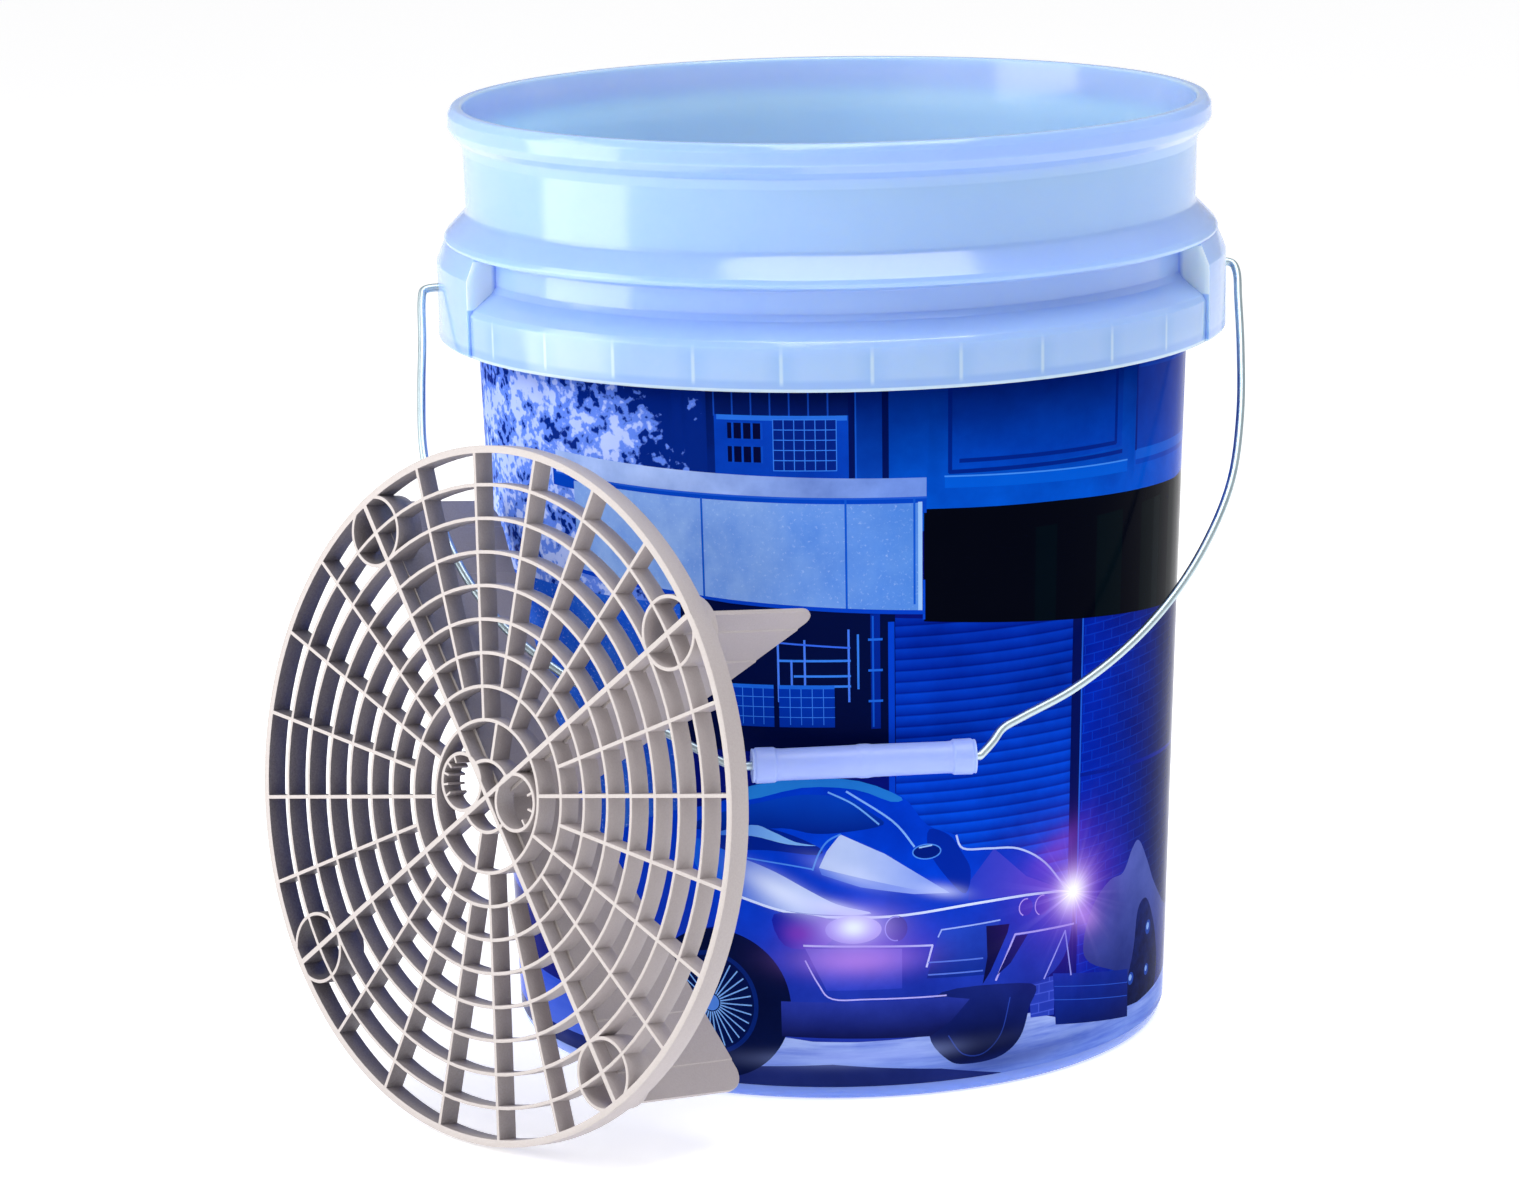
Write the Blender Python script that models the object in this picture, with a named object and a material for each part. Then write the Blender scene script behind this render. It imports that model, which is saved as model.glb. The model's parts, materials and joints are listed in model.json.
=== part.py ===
"""Five-gallon wash bucket with a printed label sleeve, a wire bail with a turning grip, and a dirt guard.

Frame: origin at the middle of the base's underside, +Z up, +X along the bail's pivot axis, and -Y towards
the side that the bail rests on. The dirt guard stands on its rim on the floor, leaning towards the bucket.
"""

import math

import bmesh
import bpy
from mathutils import Matrix, Vector
from mathutils.geometry import delaunay_2d_cdt

MM = 0.001
GAP = 0.3 * MM  # clearance between touching pieces

# Bucket: a moulded pail
SEGMENTS = 48  # facets round the bucket and its label
BASE_R = 131.0 * MM  # outer radius of the cone where it would meet the floor
CONE_TOP_R = 141.3 * MM  # outer radius of the cone under the flanges
CONE_TOP_Z = 300.0 * MM
WALL = 2.2 * MM
FLOOR_Z = 5.0 * MM  # upper side of the base
FOOT_RECESS = 2.0 * MM  # hollow between the foot ring and the centre pad
BASE_PAD_R = 45.0 * MM
FOOT_RING_R = 118.0 * MM
BASE_CORNER = 4.5 * MM
RIM_Z = 373.0 * MM
RIM_R = 151.0 * MM
FLANGE_R = 153.6 * MM
SKIRT_R = 155.4 * MM
SKIRT_BOTTOM_Z = 281.7 * MM
SKIRT_WALL = 1.7 * MM
SKIRT_RIB_STEP = 12.4  # degrees between the ribs behind the skirt
SKIRT_RIBS_PER_SIDE = 11
SKIRT_RIB_TURN = -1.4  # degrees from straight in front to the middle rib
SKIRT_RIB_THICK = 1.4 * MM
EAR_R = 156.8 * MM
EAR_LEAD = 28.0  # degrees of ear block on the side that its ribs start from
EAR_TRAIL = 19.5
EAR_BORE_R = 2.1 * MM
EAR_BORE_DEPTH = 9.0 * MM

# Label: a printed sleeve round the cone
LABEL_BOTTOM_Z = 5.8 * MM
LABEL_TOP_Z = 281.8 * MM
LABEL_THICK = 0.4 * MM

# Bail: a wire handle, drawn hanging straight down in its own plane
PIVOT_Z = 302.0 * MM
BAIL_REST = 41.5  # degrees from straight down to where the grip rests on the wall
BAIL_REACH = 218.0 * MM  # pivot axis to grip axis
WIRE_R = 1.65 * MM
GRIP_LEFT_X = -50.0 * MM
GRIP_RIGHT_X = 35.0 * MM
WIRE_END_X = 149.5 * MM
# Hand-bent sides, as distance from the bucket's middle and distance below the pivot, ear to grip
BAIL_RIGHT = [(158, 0), (162.4, 1.2), (163.6, 5), (162.6, 18), (160.4, 42), (156.2, 72), (148.6, 102),
              (136, 128), (119.5, 152), (99, 173.5), (75, 191.5), (54, 202.5), (46.5, 206.8), (42, 212.5),
              (37.5, 217.2)]
BAIL_LEFT = [(158, 0), (162.4, 1.2), (163.4, 5), (164.2, 25), (165.8, 50), (166.2, 75), (162.5, 102),
             (153.5, 130), (138.8, 155), (119, 175), (95, 193), (72, 208.5), (63, 214.5), (56.5, 217.7)]

# Grip: a moulded tube that turns on the wire
GRIP_R = 6.3 * MM
GRIP_END_R = 6.9 * MM
GRIP_END_LENGTH = 9.0 * MM
GRIP_BORE_R = 2.3 * MM
GRIP_SEGMENTS = 16

# Dirt guard: a grille of rings and spokes with fins behind it, drawn flat with its face towards +Z
GUARD_R = 131.4 * MM
GUARD_DEPTH = 8.5 * MM
GUARD_LEAN = 8.4  # degrees back from upright
GUARD_FACING = 218.3  # degrees from +X to the direction that its face points to
GUARD_X = -150.2 * MM
GUARD_Y = -144.6 * MM
RIM_WALL = 2.8 * MM
RING_WALL = 1.5 * MM
FIRST_RING_R = 28.75 * MM
RING_STEP = 12.57 * MM
RINGS = 8  # inside the rim
SPOKES = 24
FIRST_SPOKE = 10.0  # degrees
SPOKE_WALL = 1.6 * MM
ARM_WALL = 2.6 * MM
ARM_SPOKES = (2, 8, 14, 20)  # the four thicker spokes that run to the middle
SOCKET_R = 13.2 * MM
SOCKET_AT = 117.4 * MM
SOCKET_DEPTH = 20.0 * MM
CUP_WALL = 1.1 * MM  # of the sockets behind the grille
FINE_RING_R = 110.0 * MM  # rings wider than this have a corner between spokes too
HUB_CIRCLES = ((0.0, 0.0, 13.5 * MM), (-14.5 * MM, 3.0 * MM, 10.8 * MM), (16.0 * MM, 0.5 * MM, 10.6 * MM))
FIN_OUTER_R = 130.4 * MM
FIN_DEPTH = 66.0 * MM
FIN_HUB_DEPTH = 44.0 * MM
FIN_CORNER = 8.0 * MM
# From each radius out, half the fin's thickness
FIN_STEPS = ((118.5 * MM, 1.0 * MM), (97.0 * MM, 1.5 * MM), (0.0, 2.0 * MM))
FIN_ARMS = (130.0, 40.0)  # degrees: one fin right across, and one from the middle out
CIRCLE_FACETS = 16


def clear_scene():
    for obj in list(bpy.data.objects):
        bpy.data.objects.remove(obj)


def plastic(name, color, roughness, metallic=0.0):
    material = bpy.data.materials.new(name)
    material.use_nodes = True
    shader = material.node_tree.nodes["Principled BSDF"]
    shader.inputs["Base Color"].default_value = (*color, 1.0)
    shader.inputs["Roughness"].default_value = roughness
    shader.inputs["Metallic"].default_value = metallic
    return material


def link(name, data, material=None, parent=None):
    obj = bpy.data.objects.new(name, data)
    bpy.context.scene.collection.objects.link(obj)
    if material:
        data.materials.append(material)
    if parent:
        obj.parent = parent
    return obj


def mesh_from(bm, name, smooth_angle=35.0):
    bmesh.ops.recalc_face_normals(bm, faces=bm.faces)
    mesh = bpy.data.meshes.new(name)
    bm.to_mesh(mesh)
    bm.free()
    mesh.shade_smooth()
    mesh.set_sharp_from_angle(angle=math.radians(smooth_angle))
    return mesh


def boolean(target, operation, bm, name):
    """Joins or cuts target with the closed mesh bm, through a modifier and a hidden guide object."""
    guide = link(name, mesh_from(bm, name))
    guide.hide_render = True
    guide.display_type = "WIRE"
    guide.parent = target
    cut = target.modifiers.new(name, "BOOLEAN")
    cut.operation = operation
    cut.solver = "EXACT"
    cut.object = guide


def add_turned(bm, profile, segments, start=0.0, sweep=360.0):
    """Turns a closed (radius, height) outline about Z. A part turn gets an outline face at each end."""
    whole = sweep >= 360.0
    count = segments if whole else segments + 1
    rings = []
    for radius, height in profile:
        if radius == 0.0:
            rings.append([bm.verts.new((0, 0, height))] * count)
            continue
        angles = [math.radians(start + sweep * i / segments) for i in range(count)]
        rings.append([bm.verts.new((radius * math.cos(a), radius * math.sin(a), height)) for a in angles])
    for ring, following in zip(rings, rings[1:] + rings[:1]):
        for i in range(segments):
            j = (i + 1) % count
            corners = list(dict.fromkeys((ring[i], ring[j], following[j], following[i])))
            if len(corners) > 2:
                bm.faces.new(corners)
    if not whole:
        bm.faces.new([ring[0] for ring in rings])
        bm.faces.new([ring[-1] for ring in rings])


def add_box(bm, size, matrix):
    made = bmesh.ops.create_cube(bm, size=1.0)
    bmesh.ops.scale(bm, vec=size, verts=made["verts"])
    bmesh.ops.transform(bm, matrix=matrix, verts=made["verts"])


def add_tube(bm, centre, radius, wall, bottom, top):
    """A short upright tube: its wall's middle at radius, from bottom to top."""
    outer, inner = radius + wall / 2, radius - wall / 2
    before = set(bm.verts)
    add_turned(bm, [(outer, bottom), (outer, top), (inner, top), (inner, bottom)], CIRCLE_FACETS)
    made = [v for v in bm.verts if v not in before]
    bmesh.ops.translate(bm, vec=(centre[0], centre[1], 0), verts=made)


def cone_radius(z):
    return BASE_R + (CONE_TOP_R - BASE_R) * z / CONE_TOP_Z


def arc(centre, radius, start, end, steps):
    """Points of an arc, in (radius, height), from start to end degrees."""
    angles = [math.radians(start + (end - start) * i / steps) for i in range(steps + 1)]
    return [(centre[0] + radius * math.cos(a), centre[1] + radius * math.sin(a)) for a in angles]


def bucket_profile():
    """The bucket's wall in section: up the outside from the middle of the base, and down the inside."""
    corner = (cone_radius(BASE_CORNER) - BASE_CORNER, BASE_CORNER)
    pad_slope = 2 * MM
    base = [(0.0, 0.0), (BASE_PAD_R, 0.0), (BASE_PAD_R + pad_slope, FOOT_RECESS),
            (FOOT_RING_R - pad_slope, FOOT_RECESS), (FOOT_RING_R, 0.0)]
    body = arc(corner, BASE_CORNER, -90, 0, 4) + [(cone_radius(CONE_TOP_Z - WALL), CONE_TOP_Z - WALL)]
    skirt_inner = SKIRT_R - SKIRT_WALL
    skirt = [(skirt_inner - 0.2 * MM, 297 * MM), (skirt_inner, SKIRT_BOTTOM_Z), (SKIRT_R, SKIRT_BOTTOM_Z),
             (SKIRT_R + 0.1 * MM, 298 * MM), (SKIRT_R - 0.9 * MM, 300 * MM)]
    recess = [(146.2 * MM, 306.6 * MM), (144.6 * MM, 309 * MM), (144.4 * MM, 317 * MM),
              (145.6 * MM, 319.4 * MM)]
    flange = [(FLANGE_R - 0.6 * MM, 319.9 * MM), (FLANGE_R, 321.2 * MM), (152.8 * MM, 323 * MM),
              (149.2 * MM, 327 * MM), (146.4 * MM, 329.6 * MM)]
    collar = [(144.7 * MM, 332 * MM), (145.3 * MM, 355 * MM), (146.2 * MM, 359.2 * MM)]
    lip = [(148.8 * MM, 362 * MM), (150.5 * MM, 364.6 * MM), (RIM_R, 368.4 * MM), (150.4 * MM, 371.4 * MM),
           (149.4 * MM, RIM_Z), (147.4 * MM, RIM_Z), (146.6 * MM, 372.2 * MM)]
    floor_r = cone_radius(FLOOR_Z) - WALL
    inside = [(145.6 * MM, 366 * MM), (143.1 * MM, 355 * MM), (142.3 * MM, 322 * MM),
              (cone_radius(CONE_TOP_Z) - WALL, CONE_TOP_Z), (floor_r, FLOOR_Z + 3 * MM),
              (floor_r - 3 * MM, FLOOR_Z), (0.0, FLOOR_Z)]
    return base + body + skirt + recess + flange + collar + lip + inside


def ribs_behind_skirt():
    bm = bmesh.new()
    inner, outer = CONE_TOP_R - 1.4 * MM, SKIRT_R - 0.7 * MM
    low, high = SKIRT_BOTTOM_Z + 2.4 * MM, 300 * MM
    size = (outer - inner, SKIRT_RIB_THICK, high - low)
    for side in (0, 180):
        for i in range(SKIRT_RIBS_PER_SIDE):
            step = i - (SKIRT_RIBS_PER_SIDE - 1) / 2
            angle = math.radians(side - 90 + SKIRT_RIB_TURN + step * SKIRT_RIB_STEP)
            middle = Matrix.Translation(((inner + outer) / 2, 0, (low + high) / 2))
            add_box(bm, size, Matrix.Rotation(angle, 4, "Z") @ middle)
    return bm


def ear_blocks():
    bm = bmesh.new()
    inner = CONE_TOP_R - 1.2 * MM
    block = [(inner, SKIRT_BOTTOM_Z + 0.5 * MM), (EAR_R, SKIRT_BOTTOM_Z + 0.5 * MM), (EAR_R, 312 * MM),
             (FLANGE_R - 0.4 * MM, 320.6 * MM), (inner + 3.2 * MM, 320.6 * MM), (inner, 300 * MM)]
    sweep = EAR_LEAD + EAR_TRAIL
    for start in (-EAR_LEAD, 180 - EAR_LEAD):
        add_turned(bm, block, 10, start=start, sweep=sweep)
    return bm


def ear_bores():
    bm = bmesh.new()
    flat_x = math.sqrt(EAR_R ** 2 - EAR_BORE_R ** 2)
    for side in (-1, 1):
        start, end = flat_x - EAR_BORE_DEPTH, EAR_R + 4 * MM
        middle = Matrix.Translation((side * (start + end) / 2, 0, PIVOT_Z))
        bmesh.ops.create_cone(bm, cap_ends=True, segments=16, radius1=EAR_BORE_R, radius2=EAR_BORE_R,
                              depth=end - start, matrix=middle @ Matrix.Rotation(math.pi / 2, 4, "Y"))
    return bm


def make_bucket():
    bm = bmesh.new()
    add_turned(bm, bucket_profile(), SEGMENTS)
    bucket = link("bucket_shell", mesh_from(bm, "bucket_shell"),
                  plastic("translucent_blue_plastic", (0.50, 0.66, 0.93), 0.2))
    boolean(bucket, "UNION", ribs_behind_skirt(), "skirt_ribs_guide")
    boolean(bucket, "UNION", ear_blocks(), "ear_blocks_guide")
    boolean(bucket, "DIFFERENCE", ear_bores(), "ear_bores_guide")


def make_label():
    bm = bmesh.new()
    low, high = cone_radius(LABEL_BOTTOM_Z) + GAP, cone_radius(LABEL_TOP_Z) + GAP
    outline = [(low, LABEL_BOTTOM_Z), (low + LABEL_THICK, LABEL_BOTTOM_Z), (high + LABEL_THICK, LABEL_TOP_Z),
               (high, LABEL_TOP_Z)]
    add_turned(bm, outline, SEGMENTS)
    link("label_sleeve", mesh_from(bm, "label_sleeve"), plastic("printed_blue_film", (0.02, 0.07, 0.5), 0.15))


def bail_path():
    """Points of the wire's middle line in the bail's own plane, from the left end to the right end."""
    left = [Vector((-x, 0, -d)) * MM for x, d in BAIL_LEFT]
    right = [Vector((x, 0, -d)) * MM for x, d in BAIL_RIGHT]
    grip = [Vector((x, 0, -BAIL_REACH)) for x in (GRIP_LEFT_X - 2 * MM, GRIP_RIGHT_X + 1.5 * MM)]
    ends = [Vector((-WIRE_END_X, 0, 0)), Vector((WIRE_END_X, 0, 0))]
    points = [ends[0]] + left + grip + right[::-1] + [ends[1]]
    smooth = []
    for i in range(len(points) - 1):
        before, here = points[max(i - 1, 0)], points[i]
        there, after = points[i + 1], points[min(i + 2, len(points) - 1)]
        straight = here in ends or there in ends or (here in grip and there in grip)
        steps = 1 if straight else 2
        for k in range(steps):
            smooth.append(catmull_rom(before, here, there, after, k / steps))
    return smooth + [points[-1]]


def catmull_rom(before, here, there, after, t):
    """The centripetal curve through here and there, at t from 0 to 1."""
    spans = [max((b - a).length, 1e-6) ** 0.5 for a, b in ((before, here), (here, there), (there, after))]
    out = (here - before) / spans[0] - (there - before) / (spans[0] + spans[1]) + (there - here) / spans[1]
    into = (there - here) / spans[1] - (after - here) / (spans[1] + spans[2]) + (after - there) / spans[2]
    start, end = out * spans[1], into * spans[1]
    return (here * (2 * t ** 3 - 3 * t ** 2 + 1) + there * (3 * t ** 2 - 2 * t ** 3)
            + start * (t ** 3 - 2 * t ** 2 + t) + end * (t ** 3 - t ** 2))


def make_bail():
    points = bail_path()
    curve = bpy.data.curves.new("bail_wire", "CURVE")
    curve.dimensions = "3D"
    curve.bevel_depth = WIRE_R
    curve.bevel_resolution = 2
    curve.use_fill_caps = True
    spline = curve.splines.new("POLY")
    spline.points.add(len(points) - 1)
    for point, place in zip(spline.points, points):
        point.co = (*place, 1.0)
    bail = link("bail_wire", curve, plastic("zinc_wire", (0.75, 0.78, 0.82), 0.25, metallic=1.0))
    bail.location = (0, 0, PIVOT_Z)
    bail.rotation_euler = (math.radians(-BAIL_REST), 0, 0)
    make_grip(bail)


def make_grip(bail):
    half = (GRIP_RIGHT_X - GRIP_LEFT_X) / 2
    neck = half - GRIP_END_LENGTH
    right_side = [(GRIP_R, 3 * MM), (GRIP_R, neck), (GRIP_END_R, neck + 1 * MM),
                  (GRIP_END_R, half - 0.8 * MM), (GRIP_END_R - 0.8 * MM, half)]
    ring = [(GRIP_R + 0.5 * MM, -2 * MM), (GRIP_R + 0.5 * MM, 2 * MM)]
    left_side = [(r, -h) for r, h in reversed(right_side)]
    outline = left_side + ring + right_side + [(GRIP_BORE_R, half), (GRIP_BORE_R, -half)]
    bm = bmesh.new()
    add_turned(bm, outline, GRIP_SEGMENTS)
    bmesh.ops.rotate(bm, cent=(0, 0, 0), matrix=Matrix.Rotation(math.pi / 2, 3, "Y"), verts=bm.verts)
    material = plastic("pale_violet_plastic", (0.40, 0.46, 0.83), 0.35)
    grip = link("bail_grip", mesh_from(bm, "bail_grip"), material, parent=bail)
    grip.location = ((GRIP_LEFT_X + GRIP_RIGHT_X) / 2, 0, -BAIL_REACH)


def guard_frame():
    """An empty at the middle of the guard's face, leaning back and turned as the guard stands."""
    lean = math.radians(GUARD_LEAN)
    frame = link("guard_frame", None)
    frame.location = (GUARD_X, GUARD_Y, GUARD_R * math.cos(lean) + GUARD_DEPTH * math.sin(lean) + 0.2 * MM)
    frame.rotation_euler = (math.radians(90 - GUARD_LEAN), 0, math.radians(GUARD_FACING + 90))
    return frame


def polar(radius, degrees):
    return Vector((math.cos(math.radians(degrees)), math.sin(math.radians(degrees)), 0)) * radius


def spoke_angle(spoke):
    return FIRST_SPOKE + 360 * spoke / SPOKES


def spoke_starts(spoke):
    """The ring that a spoke starts from: arms at the first, their neighbours further out."""
    offset = min(abs((spoke - arm + 12) % 24 - 12) for arm in ARM_SPOKES)
    return {0: 0, 2: 0}.get(offset, 1)


def band(centre, radius, wall, start, count):
    """Quads of a flat ring with count corners, its wall's middle at radius."""
    angles = [start + 360 * i / count for i in range(count)]
    inner = [centre + polar(radius - wall / 2, angle) for angle in angles]
    outer = [centre + polar(radius + wall / 2, angle) for angle in angles]
    return [(inner[i - 1], outer[i - 1], outer[i], inner[i]) for i in range(count)]


def strip(start, end, wall):
    """One rectangle from start to end, as wide as wall."""
    side = (end - start).normalized().cross(Vector((0, 0, 1))) * (wall / 2)
    return start + side, end + side, end - side, start - side


def lattice():
    """Flat outlines of the grille: the rings, and a strip for each spoke from its first ring to the rim."""
    middle = Vector((0, 0, 0))
    between = FIRST_SPOKE + 180 / SPOKES
    rim_radius = GUARD_R - RIM_WALL / 2
    radii = [FIRST_RING_R + i * RING_STEP for i in range(RINGS)]
    outlines = band(middle, rim_radius, RIM_WALL, between / 2, 2 * SPOKES)
    for radius in radii:
        corners = SPOKES if radius < FINE_RING_R else 2 * SPOKES
        outlines += band(middle, radius, RING_WALL, between, corners)
    for spoke in range(SPOKES):
        angle = spoke_angle(spoke)
        wall = ARM_WALL if spoke in ARM_SPOKES else SPOKE_WALL
        outlines.append(strip(polar(radii[spoke_starts(spoke)], angle), polar(rim_radius, angle), wall))
    return outlines


def hub_and_sockets():
    """Flat outlines that cross the lattice: the arms' bars through the middle, the circles and two posts."""
    outlines = []
    for spoke in ARM_SPOKES[:2]:
        end = polar(FIRST_RING_R + 0.3 * MM, spoke_angle(spoke))
        outlines.append(strip(-end, end, ARM_WALL - 0.2 * MM))
    for x, y, radius in HUB_CIRCLES:
        outlines += band(Vector((x, y, 0)), radius, RING_WALL, 4, CIRCLE_FACETS)
    for angle in (85, 265):
        outlines.append(strip(polar(HUB_CIRCLES[0][2], angle), polar(FIRST_RING_R, angle), SPOKE_WALL))
    for spoke in ARM_SPOKES:
        outlines += band(polar(SOCKET_AT, spoke_angle(spoke)), SOCKET_R, RING_WALL, 4, CIRCLE_FACETS)
    return outlines


def flat_union(outlines):
    """One flat mesh that covers every outline, facing up."""
    corners, faces = [], []
    for outline in outlines:
        faces.append(list(range(len(corners), len(corners) + len(outline))))
        corners += [Vector((p.x, p.y)) / MM for p in outline]
    verts, _, triangles, _, _, sources = delaunay_2d_cdt(corners, [], faces, 0, 1e-4)
    bm = bmesh.new()
    made = [bm.verts.new((v.x * MM, v.y * MM, 0)) for v in verts]
    for triangle, source in zip(triangles, sources):
        if source:
            bm.faces.new([made[i] for i in triangle])
    loose = [v for v in bm.verts if not v.link_faces]
    bmesh.ops.delete(bm, geom=loose, context="VERTS")
    return bm


def make_grille(frame, material):
    bm = flat_union(lattice() + hub_and_sockets())
    made = bmesh.ops.extrude_face_region(bm, geom=bm.faces[:])
    lower = [g for g in made["geom"] if isinstance(g, bmesh.types.BMVert)]
    bmesh.ops.translate(bm, vec=(0, 0, -GUARD_DEPTH), verts=lower)
    grille = link("guard_grille", mesh_from(bm, "guard_grille"), material, parent=frame)
    cups = bmesh.new()
    for spoke in ARM_SPOKES:
        centre = polar(SOCKET_AT, spoke_angle(spoke))
        add_tube(cups, centre, SOCKET_R, CUP_WALL, -SOCKET_DEPTH, -GUARD_DEPTH / 2)
    boolean(grille, "UNION", cups, "socket_cups_guide")


def fin_half_thickness(radius):
    for start, half in FIN_STEPS:
        if radius >= start:
            return half


def fin_far_depth(radius):
    """How far behind the face the fin reaches: a gentle slope, then the rounded outer corner."""
    corner_start = FIN_OUTER_R - FIN_CORNER
    if radius <= corner_start:
        return FIN_HUB_DEPTH + (FIN_DEPTH - FIN_HUB_DEPTH) * radius / corner_start
    along = min((radius - corner_start) / FIN_CORNER, 1.0)
    return FIN_DEPTH - FIN_CORNER + FIN_CORNER * math.sqrt(1 - along ** 2)


def fin_near_depth(radius):
    """The fin starts behind the grille, and behind the sockets further out."""
    socket_inner = SOCKET_AT - SOCKET_R - CUP_WALL
    return (GUARD_DEPTH if radius < socket_inner else SOCKET_DEPTH) + GAP


def add_fin(bm, stations, angle, inset=0.0):
    """A plate along the arm at angle: sections across it at each station, joined end to end."""
    sections = []
    for station in stations:
        radius = abs(station)
        half = fin_half_thickness(radius)
        near = fin_near_depth(radius) + inset
        far = fin_far_depth(radius) - inset
        corners = ((half, near), (half, far), (-half, far), (-half, near))
        section = [Matrix.Rotation(math.radians(angle), 3, "Z") @ Vector((station, side, -depth))
                   for side, depth in corners]
        sections.append([bm.verts.new(p) for p in section])
    for near_section, far_section in zip(sections, sections[1:]):
        for i in range(4):
            j = (i + 1) % 4
            bm.faces.new((near_section[i], near_section[j], far_section[j], far_section[i]))
    bm.faces.new(sections[0])
    bm.faces.new(sections[-1])


def fin_stations():
    """Radii of the fin's sections from the middle out: each step, then the rounded corner."""
    ramp = 0.4 * MM
    steps = [start for start, _ in FIN_STEPS[:-1]] + [SOCKET_AT - SOCKET_R - CUP_WALL]
    stations = []
    for start in sorted(steps):
        stations += [start - ramp, start]
    corner_start = FIN_OUTER_R - FIN_CORNER
    return stations + [corner_start + FIN_CORNER * math.sin(math.radians(90 * i / 5)) for i in range(6)]


def make_fins(frame, material):
    out = fin_stations()
    across = [-s for s in reversed(out)] + [0.0] + out
    bm = bmesh.new()
    add_fin(bm, across, FIN_ARMS[0])
    fins = link("guard_fins", mesh_from(bm, "guard_fins"), material, parent=frame)
    half_fin = bmesh.new()
    add_fin(half_fin, [0.7 * MM] + out, FIN_ARMS[1], inset=0.1 * MM)
    boolean(fins, "UNION", half_fin, "third_fin_guide")


def make_guard():
    frame = guard_frame()
    make_grille(frame, plastic("warm_grey_plastic", (0.50, 0.46, 0.43), 0.45))
    make_fins(frame, plastic("warm_grey_plastic_fins", (0.50, 0.46, 0.43), 0.45))


def main():
    clear_scene()
    make_bucket()
    make_label()
    make_bail()
    make_guard()


main()
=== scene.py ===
"""Looks of the wash bucket: translucent pail, printed sleeve, zinc bail, turning grip and dirt guard.

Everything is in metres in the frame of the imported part: origin at the middle of the base's underside, +Z up,
+X along the bail's pivot axis, and -Y towards the side that the bail rests on.
"""

import json
import math

import bmesh
import bpy
from mathutils import Matrix, Vector
from mathutils.geometry import delaunay_2d_cdt


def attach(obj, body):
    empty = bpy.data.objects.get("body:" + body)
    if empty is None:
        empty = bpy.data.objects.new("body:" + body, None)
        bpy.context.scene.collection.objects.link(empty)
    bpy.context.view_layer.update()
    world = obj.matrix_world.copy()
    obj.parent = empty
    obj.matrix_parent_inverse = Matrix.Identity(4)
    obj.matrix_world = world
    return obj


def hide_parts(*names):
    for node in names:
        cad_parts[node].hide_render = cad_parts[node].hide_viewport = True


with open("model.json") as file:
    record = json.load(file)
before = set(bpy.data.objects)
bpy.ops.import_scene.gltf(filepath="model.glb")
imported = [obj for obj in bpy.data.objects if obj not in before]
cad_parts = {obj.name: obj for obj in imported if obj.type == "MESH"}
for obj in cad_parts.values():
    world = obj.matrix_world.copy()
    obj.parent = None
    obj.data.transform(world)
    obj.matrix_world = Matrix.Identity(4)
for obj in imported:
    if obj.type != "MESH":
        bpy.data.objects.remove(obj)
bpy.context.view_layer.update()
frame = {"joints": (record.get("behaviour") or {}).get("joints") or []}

MM = 0.001
PIVOT = Vector(next(j for j in frame["joints"] if j["name"] == "bail_swing")["pos_m"])
GRIP_AT = Vector(next(j for j in frame["joints"] if j["name"] == "grip_spin")["pos_m"])

# The direction that the printed picture faces, and that the camera looks from, in degrees from -Y towards +X
PICTURE_TURN = -6.8

# Bucket and label, in millimetres
BASE_R = 131.0
CONE_TOP_R = 141.3
CONE_TOP_Z = 300.0
WALL = 2.2
SKIRT_LOW = 281.7
SKIRT_HIGH = 300.4
SKIRT_R = 155.6
EAR_FACE_R = 144.8  # from here out the ears' end faces stand free
EAR_TOP = 320.6
EAR_START = -28  # in degrees from +X, and for the left ear half a turn further
EAR_SWEEP = 47.5
RIB_TURN = -91.4  # the middle rib, in degrees from +X
RIB_STEP = 12.4
RIBS = 11
TURN_STEPS = 240
LABEL_LOW = 5.8
LABEL_HIGH = 281.8
LABEL_OUT = 0.7  # from the cone to the label's outer face
LABEL_THICK = 0.4
FLAT_R = 136.5  # the radius whose arc length measures the picture
PICTURE_STRIPS = 84  # upright strips in one picture
PICTURES = 2  # the same picture on both sides of the bucket
SLAT_PITCH = 4.4  # of the roller shutter in the picture
STAR_AT = (101, 73.4)  # the lit lamp in the picture, across from its middle and up from the floor

# Bail, in millimetres in its own plane: distance from the bucket's middle and distance below the pivot
BAIL_REST = 41.5
BAIL_REACH = 218.0
WIRE_R = 1.65
WIRE_END_X = 149.5
GRIP_LEFT_X = -50.0
GRIP_RIGHT_X = 35.0
BAIL_RIGHT = [(158, 0), (162.4, 1.2), (163.6, 5), (162.6, 18), (160.4, 42), (156.2, 72), (148.6, 102),
              (136, 128), (119.5, 152), (99, 173.5), (75, 191.5), (54, 202.5), (46.5, 206.8), (42, 212.5),
              (37.5, 217.2)]
BAIL_LEFT = [(158, 0), (162.4, 1.2), (163.4, 5), (164.2, 25), (165.8, 50), (166.2, 75), (162.5, 102),
             (153.5, 130), (138.8, 155), (119, 175), (95, 193), (72, 208.5), (63, 214.5), (56.5, 217.7)]

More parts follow.
